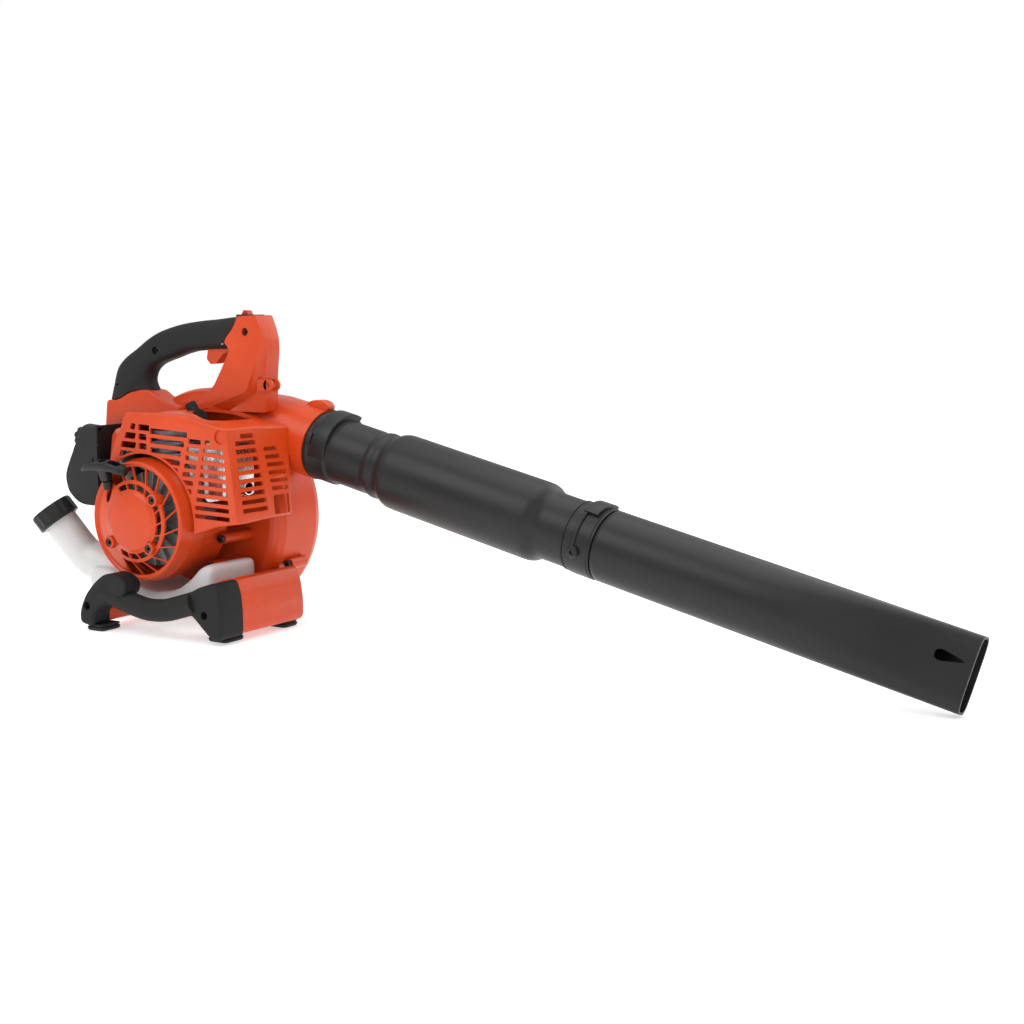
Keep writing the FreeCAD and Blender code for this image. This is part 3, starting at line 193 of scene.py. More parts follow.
def tank_material():
    """Milky blow-moulded polyethylene: light passes into it and scatters."""
    mat, nodes, links, shader = material("milky_tank")
    broad = noise(nodes, links, 9.0, 3.0, 0.5)
    links.new(blended(nodes, links, spread(nodes, links, broad.outputs["Fac"], 0, 1), (0.60, 0.60, 0.60),
                      (0.67, 0.67, 0.665)), shader.inputs["Base Color"])
    links.new(spread(nodes, links, broad.outputs["Fac"], 0.32, 0.42), shader.inputs["Roughness"])
    fine = noise(nodes, links, 700.0, 3.0, 0.6)
    bump(nodes, links, shader, fine.outputs["Fac"], 0.3, 0.00006)
    shader.inputs["Subsurface Weight"].default_value = 0.55
    shader.inputs["Subsurface Radius"].default_value = (0.012, 0.011, 0.010)
    shader.inputs["Subsurface Scale"].default_value = 1.0
    return mat


TANK = tank_material()

SLOT_MATERIALS = {
    "orange_shell": ORANGE, "black_shell": BLACK, "black_tube": TUBE, "grip_rubber": RUBBER,
    "foot_rubber": FOOT, "tank_white": TANK, "switch_red": RED, "cast_aluminium": CAST,
    "machined_steel": STEEL, "black_steel": SCREW, "bright_steel": BRIGHT, "ceramic": CERAMIC,
    "primer": PRIMER, "foam": FOAM, "fan_plastic": FAN,
}


# ---- mesh building ----
def turn_angles(count):
    return [2 * math.pi * k / count for k in range(count)]


def squared_turn(angle, power):
    """Cosine and sine of an angle, each raised to a power; one under 1 makes a circle squarer."""
    cosine = math.copysign(abs(math.cos(angle)) ** power, math.cos(angle))
    sine = math.copysign(abs(math.sin(angle)) ** power, math.sin(angle))
    return cosine, sine


def smoothed(points, steps=6, closed=False):
    """Points on a smooth curve through the given ones (tuples of any length)."""
    points = [Vector(p) for p in points]
    count = len(points)
    line = []
    for k in range(count if closed else count - 1):
        if closed:
            a, b, c, d = (points[(k + shift) % count] for shift in (-1, 0, 1, 2))
        else:
            a, b, c, d = (points[min(max(k + shift, 0), count - 1)] for shift in (-1, 0, 1, 2))
        for step in range(steps):
            t = step / steps
            line.append(0.5 * (2 * b + (c - a) * t + (2 * a - 5 * b + 4 * c - d) * t ** 2
                               + (3 * b - a - 3 * c + d) * t ** 3))
    if not closed:
        line.append(points[-1])
    return line


def softened(points, reach, steps=4):
    """A closed outline with its corners rounded."""
    points = [Vector(p) for p in points]
    line = []
    for k, here in enumerate(points):
        before = points[k - 1] - here
        after = points[(k + 1) % len(points)] - here
        cut = min(reach, before.length * 0.45, after.length * 0.45)
        start = here + before.normalized() * cut
        end = here + after.normalized() * cut
        for step in range(steps + 1):
            t = step / steps
            line.append(start * (1 - t) ** 2 + here * 2 * t * (1 - t) + end * t ** 2)
    return line


def skin(rings, capped=True, looped=False):
    """Skin over rings of points, each ring closed; looped joins the last ring to the first."""
    mesh = bmesh.new()
    rows = [[mesh.verts.new(point) for point in ring] for ring in rings]
    pairs = list(zip(rows, rows[1:]))
    if looped:
        pairs.append((rows[-1], rows[0]))
    for one, two in pairs:
        count = len(one)
        for k in range(count):
            mesh.faces.new((one[k], one[(k + 1) % count], two[(k + 1) % count], two[k]))
    if capped and not looped:
        mesh.faces.new(rows[0][::-1])
        mesh.faces.new(rows[-1])
    bmesh.ops.recalc_face_normals(mesh, faces=mesh.faces)
    return mesh


def slab(outline, y0, y1):
    """Prism along Y over an (x, z) outline in engine millimetres."""
    return skin([[at(x, y, z) for x, z in outline] for y in (y0, y1)])


def end_edges(mesh, *planes):
    """The edges of a slab that lie in planes across the crank's axis, given by their engine y."""
    levels = [at(0, y, 0).y for y in planes]
    return [e for e in mesh.edges
            if any(all(abs(v.co.y - level) < 1e-5 for v in e.verts) for level in levels)]


def rounded(mesh, edges, width, segments):
    """Rounds the chosen edges over, by a width in millimetres."""
    bmesh.ops.bevel(mesh, geom=edges, offset=width * MM, segments=segments, profile=0.5,
                    affect="EDGES", clamp_overlap=True)
    return mesh


def sharp_edges(mesh, least):
    """The mesh's edges that turn by more than the least angle, in degrees."""
    return [e for e in mesh.edges if len(e.link_faces) == 2
            and e.calc_face_angle(0) > math.radians(least)]


def lathe(profile, place, count=128, radius_at=None):
    """Turns an (along, radius) profile; place(along, side, up) gives the point."""
    rings = []
    for a in turn_angles(count):
        ring = []
        for s, r in profile:
            if radius_at:
                r = radius_at(s, r, a)
            ring.append(place(s, r * math.cos(a), r * math.sin(a)))
        rings.append(ring)
    return skin(rings, looped=True)


def solid(mesh, name="cutter"):
    data = bpy.data.meshes.new(name)
    bmesh.ops.recalc_face_normals(mesh, faces=mesh.faces)
    mesh.to_mesh(data)
    mesh.free()
    obj = bpy.data.objects.new(name, data)
    bpy.context.scene.collection.objects.link(obj)
    return obj


def merged(meshes):
    """One object out of several closed meshes."""
    whole = bmesh.new()
    for mesh in meshes:
        data = bpy.data.meshes.new("part")
        bmesh.ops.recalc_face_normals(mesh, faces=mesh.faces)
        mesh.to_mesh(data)
        mesh.free()
        whole.from_mesh(data)
        bpy.data.meshes.remove(data)
    data = bpy.data.meshes.new("merged")
    whole.to_mesh(data)
    whole.free()
    obj = bpy.data.objects.new("merged", data)
    bpy.context.scene.collection.objects.link(obj)
    return obj


def combine(obj, meshes, operation="DIFFERENCE"):
    """Cuts closed meshes out of an object, or joins them to it, and keeps the result as its mesh."""
    other = meshes if isinstance(meshes, bpy.types.Object) else merged(meshes)
    step = obj.modifiers.new("combine", "BOOLEAN")
    step.operation = operation
    step.solver = "EXACT"
    step.use_self = True
    step.object = other
    bpy.context.view_layer.update()
    result = bpy.data.meshes.new_from_object(obj.evaluated_get(bpy.context.evaluated_depsgraph_get()))
    obj.modifiers.clear()
    old = obj.data
    obj.data = result
    bpy.data.meshes.remove(old)
    bpy.data.objects.remove(other)
    return obj


def remeshed(obj, voxel, smooth=4):
    """Melts an object's shells into one smooth skin."""
    melt = obj.modifiers.new("melt", "REMESH")
    melt.mode = "VOXEL"
    melt.voxel_size = voxel * MM
    ease = obj.modifiers.new("ease", "SMOOTH")
    ease.factor = 0.6
    ease.iterations = smooth
    bpy.context.view_layer.update()
    result = bpy.data.meshes.new_from_object(obj.evaluated_get(bpy.context.evaluated_depsgraph_get()))
    obj.modifiers.clear()
    obj.data = result
    return obj


def piece(obj, name, slot, body, *replaced, edge=0.0, sharp=38.0):
    """Finishes a piece: smooth shading, material, what it rides on and which CAD nodes it replaces."""
    if isinstance(obj, bmesh.types.BMesh):
        obj = solid(obj, name)
    obj.name = name
    obj.data.name = name
    obj.data.shade_smooth()
    obj.data.set_sharp_from_angle(angle=math.radians(sharp))
    obj.data.materials.clear()
    obj.data.materials.append(SLOT_MATERIALS[slot])
    if edge:
        step = obj.modifiers.new("edges", "BEVEL")
        step.width = edge * MM
        step.segments = 2
        step.limit_method = "ANGLE"
        step.angle_limit = math.radians(sharp)
        step.use_clamp_overlap = True
    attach(obj, body)
    if replaced:
        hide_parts(*replaced)
    return obj


# ---- blow tubes ----
def tube_block(s0, s1, a0, a1, base, heights, steps=16):
    """Raised block round part of the tube; 0 degrees is the top, positive turns to the starter side."""
    rings = []
    for k in range(steps + 1):
        t = k / steps
        angle = math.radians(a0 + (a1 - a0) * t)
        spot = t * (len(heights) - 1)
        low = min(int(spot), len(heights) - 2)
        tall = heights[low] + (heights[low + 1] - heights[low]) * (spot - low)
        outline = softened([(s0, base - 3), (s0, base + tall), (s1, base + tall), (s1, base - 3)], 1.2, 3)
        rings.append([on_tube(s, -r * math.sin(angle), r * math.cos(angle)) for s, r in outline])
    return skin(rings)


def silencer_tube():
    """First tube: collar with its bayonet block, swollen middle, and the socket that the nozzle turns on."""
    outside = [(0.3, 36.4), (0.3, 39.7), (0.8, 40.2), (6, 40.2), (6.6, 39.5), (29, 39.5), (30, 39.2),
               (32, 37.2), (34, 36.5), (75, 36.5), (78, 35.9), (81, 35.4), (84, 35.9), (87, 37.6),
               (90, 38.1), (93, 37.8), (96, 36.8), (100, 36.5), (103, 37.0), (106, 39.0), (110, 41.6),
               (114, 42.7), (120, 43), (298, 43), (304, 42.7), (308, 41.6), (312, 39.4), (316, 37.4),
               (320, 36.6), (326, 36.5), (350.4, 36.5), (351, 37.7), (353, 37.7), (353.6, 36.7),
               (356.4, 36.7), (357, 38.2), (360, 38.5), (383.4, 38.5), (384, 37.7), (386.4, 37.7),
               (386.9, 35.2), (424, 35.2)]
    inside = [(424, 33.2), (318, 34.4), (306, 41), (118, 41), (104, 34.4), (30, 34.4), (26.5, 36.4)]
    tube = solid(lathe(outside + inside, on_tube, 160))
    blocks = [tube_block(12, 32, -25, 100, 39.5, (4.6, 5.0, 4.6, 3.4, 1.6, 0.2)),
              tube_block(364, 381, -25, 35, 38.5, (3.4, 3.6, 3.4)),
              tube_block(364, 369, 30, 108, 38.5, (2.4, 1.8, 1.8, 1.8)),
              tube_block(2.2, 9.5, 62, 80, 39.5, (2.2, 2.2))]
    side = math.radians(100)
    peg_dir = TUBE_UP * math.cos(side) - TUBE_SIDE * math.sin(side)
    peg_mid = on_tube(369) + peg_dir * 36.5 * MM
    peg_up = peg_dir.cross(TUBE_DIR)
    blocks.append(lathe([(0, 0.05), (0, 6.4), (5.2, 6.4), (6.2, 5.4), (6.2, 2.4), (4.6, 2.0), (4.6, 0.05)],
                        lambda s, a, b: peg_mid + (peg_dir * s + TUBE_DIR * a + peg_up * b) * MM, 40))
    combine(tube, blocks, "UNION")
    piece(tube, "blow_tube_first", "black_tube", "first_tube", "silencer_tube", sharp=50)


NOZZLE_START = 388.0
NOZZLE_FLATTENS = 554.0      # from here to the mouth the round tube eases into a flat one
NOZZLE_END = 779.0
NOZZLE_RADIUS = 38.0
MOUTH_HALF_UP = 37.5
MOUTH_HALF_SIDE = 14.5
MOUTH_LEAN = math.radians(15.0)
NOZZLE_WALL = 2.5


def leaned(s, side, up):
    """A point on the tube, given in a cross-section that leans like the mouth."""
    return on_tube(s, side * math.cos(MOUTH_LEAN) + up * math.sin(MOUTH_LEAN),
                   -side * math.sin(MOUTH_LEAN) + up * math.cos(MOUTH_LEAN))


def nozzle_ring(s, inset=0.0, count=128):
    """Round tube that eases into the flattened, leaning mouth."""
    u = min(max((s - NOZZLE_FLATTENS) / (NOZZLE_END - NOZZLE_FLATTENS), 0.0), 1.0)
    ease = u * u * (3 - 2 * u)
    half_up = NOZZLE_RADIUS + (MOUTH_HALF_UP - NOZZLE_RADIUS) * ease - inset
    half_side = NOZZLE_RADIUS + (MOUTH_HALF_SIDE - NOZZLE_RADIUS) * ease - inset
    power = 2 + 2 * ease
    ring = []
    for a in turn_angles(count):
        c, h = squared_turn(a, 2 / power)
        ring.append(leaned(s, c * half_side, h * half_up))
    return ring


def nozzle_tube():
    """Nozzle with a drop-shaped hole near its mouth and a web across the mouth."""
    stations = ([NOZZLE_START + 6 * k for k in range(1, 28)]
                + [NOZZLE_FLATTENS + 7.5 * k for k in range(31)])
    rings = [nozzle_ring(NOZZLE_START, 0.8)] + [nozzle_ring(s) for s in [NOZZLE_START + 1] + stations]
    rings += [nozzle_ring(s, NOZZLE_WALL) for s in reversed([NOZZLE_START] + stations)]
    tube = solid(skin(rings, looped=True))
    start = NOZZLE_END - 31
    drop = [(start + 23, 12.5), (start + 8, 16.2), (start, 17.4), (start - 4.4, 15.6), (start - 5.6, 12),
            (start - 4.4, 8.6), (start, 7.0), (start + 8, 8.4)]
    outline = smoothed(drop, 4, closed=True)
    slot = skin([[on_tube(s, side, up) for s, up in outline] for side in (-50, 0)])
    combine(tube, [slot])
    section = [(NOZZLE_END - 52, -1.0), (NOZZLE_END - 5, -1.0), (NOZZLE_END - 3, 0), (NOZZLE_END - 5, 1.0),
               (NOZZLE_END - 52, 1.0)]
    web_half = 13.2
    web_drop = 13
    web = skin([[leaned(s, side, up - web_drop) for s, up in section] for side in (-web_half, web_half)])
    combine(tube, [web], "UNION")
    piece(tube, "blow_tube_nozzle", "black_tube", "nozzle", "nozzle_tube", sharp=50)


# ---- fuel tank and cap ----
CAP_SIDE = CAP_DIR.cross(Vector((0, 1, 0))).normalized()
CAP_OTHER = CAP_DIR.cross(CAP_SIDE)
NECK_TOP = Vector(JOINTS["cap_turn"]["pos_m"])


def on_neck(s, a, b):
    return NECK_TOP + (CAP_DIR * s + CAP_SIDE * a + CAP_OTHER * b) * MM


def fuel_cap():
    """Fluted cap with a raised rim, a recessed disc and a plain fuel-drop mark."""
    profile = [(1, 18.2), (1, 25.2), (1.6, 26), (3.4, 26), (4.2, 25.9), (18.4, 25.9), (20.2, 25.0),
               (21.3, 23.2), (21.5, 21.4), (20.6, 20.6), (20.2, 19.4), (20.2, 0.05), (9.2, 0.05), (9.2, 18.2)]
    flutes = 14
    flute_depth = 1.0
    land = 0.3

    def fluted(s, r, a):
        if 4.0 <= s <= 18.6 and r > 20:
            wave = abs(math.cos(a * flutes / 2))
            return r - flute_depth * max(0.0, (wave - land) / (1 - land))
        return r

    cap = solid(lathe(profile, on_neck, 288, fluted))
    drop = smoothed([(0, 9.5), (2.6, 4.0), (5.2, -1.2), (4.6, -5.2), (0, -7.6), (-4.6, -5.2), (-5.2, -1.2),
                     (-2.6, 4.0)], 5, closed=True)
    mark = skin([[on_neck(s, a, b) for a, b in drop] for s in (19.6, 20.9)])
    combine(cap, [mark], "UNION")
    piece(cap, "filler_cap", "black_shell", "cap", "fuel_cap", sharp=32)


NECK_RADIUS = 20.5
NECK_STRAIGHT = 12           # rings of the neck before it starts to widen
NECK_GROWTH = 0.25
NECK_MOST_GROWTH = 3.0


def fuel_tank():
    """Blow-moulded tank: soft body between the legs, with its filler neck rising at the rear."""
    body = [(-108, -64), (-70, -64), (-44, -75), (0, -85), (36, -80), (60, -64), (76, -47), (90, -46),
            (90, -96), (-40, -104), (-104, -94)]
    outline = softened(body, 12, 5)
    rings = []
    middle_x = -8
    middle_z = -82
    for y, part in ((33, 0.80), (34, 0.9), (38, 0.97), (46, 1.0), (98, 1.0), (106, 0.97), (110, 0.9),
                    (111, 0.80)):
        rings.append([at(middle_x + (x - middle_x) * (1 - (1 - part) * 0.35), y,
                         middle_z + (z - middle_z) * part) for x, z in outline])
    shells = [skin(rings)]
    turn = (at(-60, 68, -81) - on_neck(-48, 0, 0)).normalized()
    line = [on_neck(0, 0, 0), on_neck(-20, 0, 0), on_neck(-36, 0, 0), on_neck(-50, 0, 0) + turn * 5 * MM,
            on_neck(-50, 0, 0) + turn * 26 * MM, on_neck(-48, 0, 0) + turn * 60 * MM, at(-60, 68, -81)]
    line = smoothed(line, 5)
    rings = []
    side = CAP_SIDE
    for k, here in enumerate(line):
        ahead = line[min(k + 1, len(line) - 1)] - line[max(k - 1, 0)]
        ahead.normalize()
        side = (side - ahead * side.dot(ahead)).normalized()
        other = ahead.cross(side)
        radius = NECK_RADIUS + min(max(k - NECK_STRAIGHT, 0) * NECK_GROWTH, NECK_MOST_GROWTH)
        rings.append([here + (side * math.cos(a) + other * math.sin(a)) * radius * MM
                      for a in turn_angles(48)])
    shells.append(skin(rings))
    tank = remeshed(merged(shells), 1.6, 14)
    collar = lathe([(-1.2, 21.6), (0.6, 21.6), (0.6, 17), (6, 17), (6, 14.5), (-24, 14.5), (-24, 17.5),
                    (-1.2, 18)], on_neck, 96)
    combine(tank, [lathe([(-22, 0.05), (-22, 14.6), (3, 14.6), (3, 0.05)], on_neck, 96)])
    combine(tank, [collar], "UNION")
    piece(tank, "tank_shell", "tank_white", "housing", "fuel_tank", sharp=50)


# ---- engine cover ----
COVER_FRONT = 22.0
COVER_BACK = 117.0
COVER_CENTRE = Vector((30, 58))
COVER_WALL = 2.6
TOP_FRONT = 9                # place of the cover's two front corners in its outlines
LOW_FRONT = 10


def cover_row(points, inset, shift=0.0):
    """One ring of the cover; points are (x, y, z) and inset draws them towards the cover's middle."""
    ring = []
    for x, y, z in points:
        x += (COVER_CENTRE.x - x) * inset / 95.0
        z += (COVER_CENTRE.y - z) * inset / 64.0
        ring.append(at(x, y + shift, z))
    return ring


def cover_rows():
    """The cover's outlines from its face to its open back, with the same number of points in each."""
    face = [(-54, 50), (-50, 65), (-40, 89), (-31, 107), (-29, 114), (-23, 122), (30, 122), (66, 120),
            (92, 113.5), (125, 108), (139, 4), (108, -1), (85, -9), (61, -16)]
    flank = [(-68, 30), (-68, 93), (-61.6, 100), (-46, 103.6), (-38.5, 108), (-29, 119), (30, 122.5),
             (66, 121), (92, 116), (126, 108.3), (139, 4), (108, -1), (85, -9), (61, -16)]
    front = [(x, COVER_FRONT, z) for x, z in face]
    fold = [(x, 43.0, z) for x, z in flank]
    middle = [(x, 66.0, z) for x, z in flank]
    middle[TOP_FRONT] = (127, 66, 108.5)
    middle[LOW_FRONT] = (139, 82, 6)
    rear = [(x, COVER_BACK, z) for x, z in flank]
    rear[TOP_FRONT] = (135, COVER_BACK, 105)
    rear[LOW_FRONT] = (138.5, COVER_BACK, 6)
    return front, fold, middle, rear


def slot_outline(x0, x1, top, tall, drop=0.0, lean=0.0):
    """Outline of a slot with rounded corners; its front end may drop and its foot lean back."""
    return softened([(x0 - lean, top - tall), (x0, top), (x1, top - drop), (x1 - lean, top - drop - tall)],
                    1.3, 3)


def cover_slots():
    """Outlines of the air slots in the cover's front, top row first in each column."""
    slots = []
    for row, left in enumerate((-15.7, -24.9, -31.2, -33.6)):
        top = 110 - 10.6 * row
        slots.append(slot_outline(left, -8.5, top, 7.0, 1.0, 2.5))
        slots.append(slot_outline(-5, 12 if row == 0 else 7, top - 1, 7.0, 0.8))
    for row, right in enumerate((69, 64, 59, 57)):
        slots.append(slot_outline(13, right, 105 - 10.6 * row, 6.4, 2.5))
    slots.append(softened([(36, 63), (54, 61.5), (53, 46)], 1.0, 3))
    for row in range(7):
        slots.append(slot_outline(70.5 - 2.5 * row, 89 - 2.6 * row, 95.5 - 9.25 * row, 5.4, 0.8))
    slots.append(slot_outline(94.6, 102.3, 95, 5.0, 0.4))
    for row in range(9):
        slots.append(slot_outline(92.5 - 2.1 * row, 121.4 + 0.9 * row, 86 - 9.2 * row, 5.0, 1.2))
    return slots


def cover_side_slots():
    """Cutters for the slots and the shallow pocket in the cover's front side; points are (y, z)."""
    cutters = []
    for row in range(10):
        left, right = (43.7, 63.9) if row == 0 else (34.7, 66.7 + 1.15 * (row - 1))
        top = 101.5 - 9.3 * row + (1.8 if row > 0 else 0)
        cutters.append((112, slot_outline(left, right, top, 5)))
    for row, right in enumerate((98, 102, 108, 111, 112, 112)):
        cutters.append((118, slot_outline(78.9 + 1.5 * row, right, 84.8 - 9.0 * row, 4.5)))
    cutters.append((118, softened([(87, 8.5), (87, 30), (113, 30), (113, 8.5)], 2.5, 3)))
    return [skin([[at(x, y, z) for y, z in outline] for x in (start, 150)]) for start, outline in cutters]


def engine_cover():
    """Hollow cover, cut round the starter drum, with its air slots, top recess and corner dimple."""
    rows = cover_rows()
    outer = skin([cover_row(row, 0) for row in rows])
    rounded(outer, sharp_edges(outer, 16), 2.2, 3)
    inner_rows = [cover_row(rows[0], COVER_WALL, COVER_WALL)]
    inner_rows += [cover_row(row, COVER_WALL) for row in rows[1:-1]]
    inner_rows.append(cover_row(rows[-1], COVER_WALL, 12))
    cover = solid(outer)
    combine(cover, [skin(inner_rows)])
    combine(cover, [lathe([(0, 0.05), (0, 75.6), (62, 75.6), (62, 0.05)], ON_CRANK, 128)])
    combine(cover, [slab([(-62, -60), (104, -60), (104, 30), (-62, 30)], 45, 130),
                    slab([(-80, 15), (-50, 15), (-50, 78), (-80, 78)], 50, 100),
                    slab([(-90, -60), (60, -60), (60, 2), (-90, 2)], 0, 130)])
    shapes = merged([slab(outline, 10, 34) for outline in cover_slots()])
    combine(shapes, [lathe([(0, 0.05), (0, 78.2), (62, 78.2), (62, 0.05)], ON_CRANK, 128)])
    combine(cover, shapes)
    combine(cover, cover_side_slots())
    lens = softened([(28, 100), (38, 64), (60, 42), (86, 32), (98, 46), (100, 100)], 10, 5)
    top = skin([[at(x, y, z) for x, y in lens] for z in (100, 140)])
    dimple = lathe([(18, 0.05), (18, 8), (24.0, 8), (24.0, 0.05)], axle(117, 99), 40)
    combine(cover, [top, dimple])
    piece(cover, "engine_shroud", "orange_shell", "housing", "engine_cover", edge=0.5, sharp=40)


# ---- starter ----
ROPE_DIR = Vector(JOINTS["starter_pull"]["axis"]).normalized()
ROPE_SIDE = Vector((1, 0, 0))
ROPE_OUT = ROPE_DIR.cross(ROPE_SIDE)
ROPE_EXIT = at(-38, 5.5, 38)
RIB_COUNT = 12
RIB_PITCH = 20.0
RIB_THICK = 1.5
RIB_SWEEP = 0.7              # degrees for each millimetre outwards
RIB_FIRST = 118              # degrees from the front, over the top
STARTER_SCREWS = ((34, 26.5), (26.5, -28.5), (-34, -26))


def starter_cover():
    """Drum with a hub disc inside two rings of swept ribs; the lower rear part is closed."""
    profile = [(0, 0.05), (0, 30.5), (0.5, 32.5), (2.2, 34), (5.2, 44.5), (5.4, 45.5), (11.6, 62), (11.2, 63),
               (9.8, 64.0), (9.5, 65.2), (9.8, 66.4), (11, 67.4), (13, 67.8), (21, 68.0), (25, 70.2),
               (27, 70.6), (46.5, 70.6), (46.5, 68.2), (27, 67.8), (22, 65.4), (15.5, 65.2), (14.5, 63),
               (8.0, 45), (5.0, 34), (2.6, 30), (2.6, 0.05)]
    drum = solid(lathe(profile, ON_CRANK, 180))
    gaps = []
    steps = 6
    rings = ((36.5, 43.0), (46.8, 62.0))
    for low, high in rings:
        for k in range(RIB_COUNT):
            first = RIB_FIRST - RIB_PITCH * (k + 1)
            last = RIB_FIRST - RIB_PITCH * k
            outline = []
            for r in (low, high):
                turn = (r - rings[0][0]) * RIB_SWEEP
                trim = math.degrees(RIB_THICK / 2 / r)
                a0 = first + trim + turn
                a1 = last - trim + turn
                arc = [(a0 + (a1 - a0) * n / steps) for n in range(steps + 1)]
                if r == low:
                    arc.reverse()
                outline += [(r * math.cos(math.radians(a)), r * math.sin(math.radians(a))) for a in arc]
            gaps.append(slab(softened(outline, 0.8, 1), -3, 20))
    combine(drum, gaps)
    bosses = []
    boss = [(-0.6, 5.0), (-0.6, 6.6), (0, 7.2), (12, 7.2), (12, 2.7), (5.0, 2.7), (5.0, 5.0)]
    for x, z in STARTER_SCREWS:
        bosses.append(lathe(boss, axle(x, z), 40))
        combine(drum, [lathe([(-3, 0.05), (-3, 6.9), (20, 6.9), (20, 0.05)], axle(x, z), 40)])
    combine(drum, bosses, "UNION")
    combine(drum, [lathe([(-20, 0.05), (-20, 5.5), (20, 5.5), (20, 0.05)],
                         lambda s, a, b: ROPE_EXIT + (ROPE_DIR * s + ROPE_SIDE * a + ROPE_OUT * b) * MM, 40)])
    piece(drum, "starter_drum", "orange_shell", "housing", "starter_cover", edge=0.35, sharp=42)


def starter_grip():
    """T-shaped pull with drooping wings on a flat stem."""
    def place(a, b, s):
        return ROPE_EXIT + (ROPE_SIDE * a + ROPE_OUT * b + ROPE_DIR * s) * MM

    wings = smoothed([(-33.5, 19.0, 1.0, 1.2), (-32.5, 19.4, 3.0, 4.5), (-27, 21.4, 4.3, 7.0),
                      (-15, 24.2, 5.3, 8.2), (0, 25.2, 6.0, 8.8), (15, 24.2, 5.6, 8.2), (27, 21.0, 5.2, 7.0),
                      (32.5, 18.8, 3.6, 4.5), (33.5, 18.2, 1.0, 1.2)], 5)
    rings = []
    for a, s, tall, deep in wings:
        ring = []
        for angle in turn_angles(40):
            c, h = squared_turn(angle, 0.75)
            ring.append(place(a, c * deep, s + h * tall))
        rings.append(ring)
    grip = solid(skin(rings))
    stem = []
    for s, wide, deep in ((7.0, 4.6, 4.0), (7.8, 5.6, 5.0), (16, 6.2, 5.4), (22, 7.4, 6.2)):
        outline = softened([(-wide, -deep), (wide, -deep), (wide, deep), (-wide, deep)], 2.4, 4)
        stem.append([place(a, b, s) for a, b in outline])
    combine(grip, [skin(stem)], "UNION")
    pockets = []
    for low, high in ((-27, -9), (-5, 6), (10, 26)):
        outline = softened([(low, -4.4), (high, -4.4), (high, 4.4), (low, 4.4)], 3.0, 4)
        middle = (low + high) / 2
        drop = 27.0 - abs(middle) * 0.22
        pockets.append(skin([[place(a, b, s) for a, b in outline] for s in (drop + 1, drop + 9)]))
    combine(grip, pockets)
    piece(grip, "pull_handle", "black_shell", "pull_grip", "starter_grip", edge=0.5, sharp=42)


# ---- handle ----
HANDLE_Y = 118.0
HANDLE_HALF = 15.0
HANDLE_SEAM = 0.1            # half the gap between the two halves
GRIP_HALF = 15.6
COLUMN = [(73.5, 229.5), (100.8, 231), (106.5, 218), (110.6, 204), (110.9, 190), (109.4, 176), (108, 160),
          (107.6, 140), (107.6, 120.5), (40, 120.5), (6, 126.5), (22, 137), (37, 151), (50, 172), (57.2, 184),
          (60.4, 190), (58.4, 194.5), (53, 200), (57.5, 207), (65.5, 215), (70.5, 222)]
ROOT = [(-137, 129), (-124, 127.6), (-112, 132), (-101, 138), (-84, 141.6), (-66, 142), (-52, 133),
        (-38, 127.5), (-20, 124), (-20, 112), (-58, 104), (-72, 82), (-110, 76), (-142, 84)]
GRIP = [((-138, 127), (-65, 140)), ((-131, 147), (-72, 152)), ((-124, 166), (-69, 163)),
        ((-111, 179), (-60, 171)), ((-91, 191), (-47, 176)), ((-71, 203.5), (-33, 180)),
        ((-50, 212.5), (-17, 185)), ((-20, 220), (-1, 188.5)), ((10, 224), (16, 190)),
        ((35, 226), (34, 191)), ((58, 228.5), (54, 191.5)), ((75, 229.5), (72, 192))]
HANDLE_SCREWS = [(85, 212), (-54, 189), (-121, 147)]
LUG = (113, 152)
TRIGGER_SLOT = [(12, 165), (66, 165), (66, 206), (12, 206)]


def screw_well(x, z, radius, y0, y1):
    return lathe([(y0, 0.05), (y0, radius), (y1, radius), (y1, 0.05)], axle(x, z), 40)


def handle_shells():
    """Both halves of the column and the rear root, with the slanted facet on the starter side."""
    for name, node, way in (("handle_half_starter_side", "handle_left_shell", -1),
                            ("handle_half_fan_side", "handle_right_shell", 1)):
        face = HANDLE_Y + way * HANDLE_HALF
        y0, y1 = sorted((face, HANDLE_Y + way * HANDLE_SEAM))
        starter_side = way < 0
        shells = []
        for outline, reach in ((COLUMN, 3.0), (ROOT, 6.0)):
            mesh = slab(softened(outline, reach, 3), y0, y1)
            shells.append(rounded(mesh, end_edges(mesh, face), 2.2, 4))
        obj = merged(shells)
        cuts = []
        if starter_side:
            near = [(111.6, 209), (84.7, 146), (30.8, 127), (30.8, 100), (130, 100), (130, 209)]
            far = [(114, 200), (97, 146), (52, 121), (52, 100), (130, 100), (130, 200)]
            cuts.append(skin([[at(x, face - 1, z) for x, z in near], [at(x, face + 8, z) for x, z in far]]))
        cuts.append(slab(TRIGGER_SLOT, HANDLE_Y - 7.1, HANDLE_Y + 7.1))
        cuts.append(slab([(65.8, 221.8), (96.2, 221.8), (96.2, 240), (65.8, 240)],
                         HANDLE_Y - 9.2, HANDLE_Y + 9.2))
        combine(obj, cuts)
        if starter_side:
            combine(obj, [screw_well(*HANDLE_SCREWS[0], 4.7, face - 4, HANDLE_Y - 8)])
        lug_y = 108.0 if starter_side else 119.5
        ring = lathe([(lug_y, 2.7), (lug_y, 6.4), (lug_y + 0.6, 7), (lug_y + 2.9, 7), (lug_y + 3.5, 6.4),
                      (lug_y + 3.5, 2.7)], axle(*LUG), 48)
        foot = slab([(97, 145.2), (108.6, 145.2), (111, 146), (111, 158), (108.6, 158.8), (97, 158.8)],
                    lug_y, lug_y + 3.5)
        combine(obj, [ring, foot], "UNION")
        piece(obj, name, "orange_shell", "housing", node, edge=0.4, sharp=42)


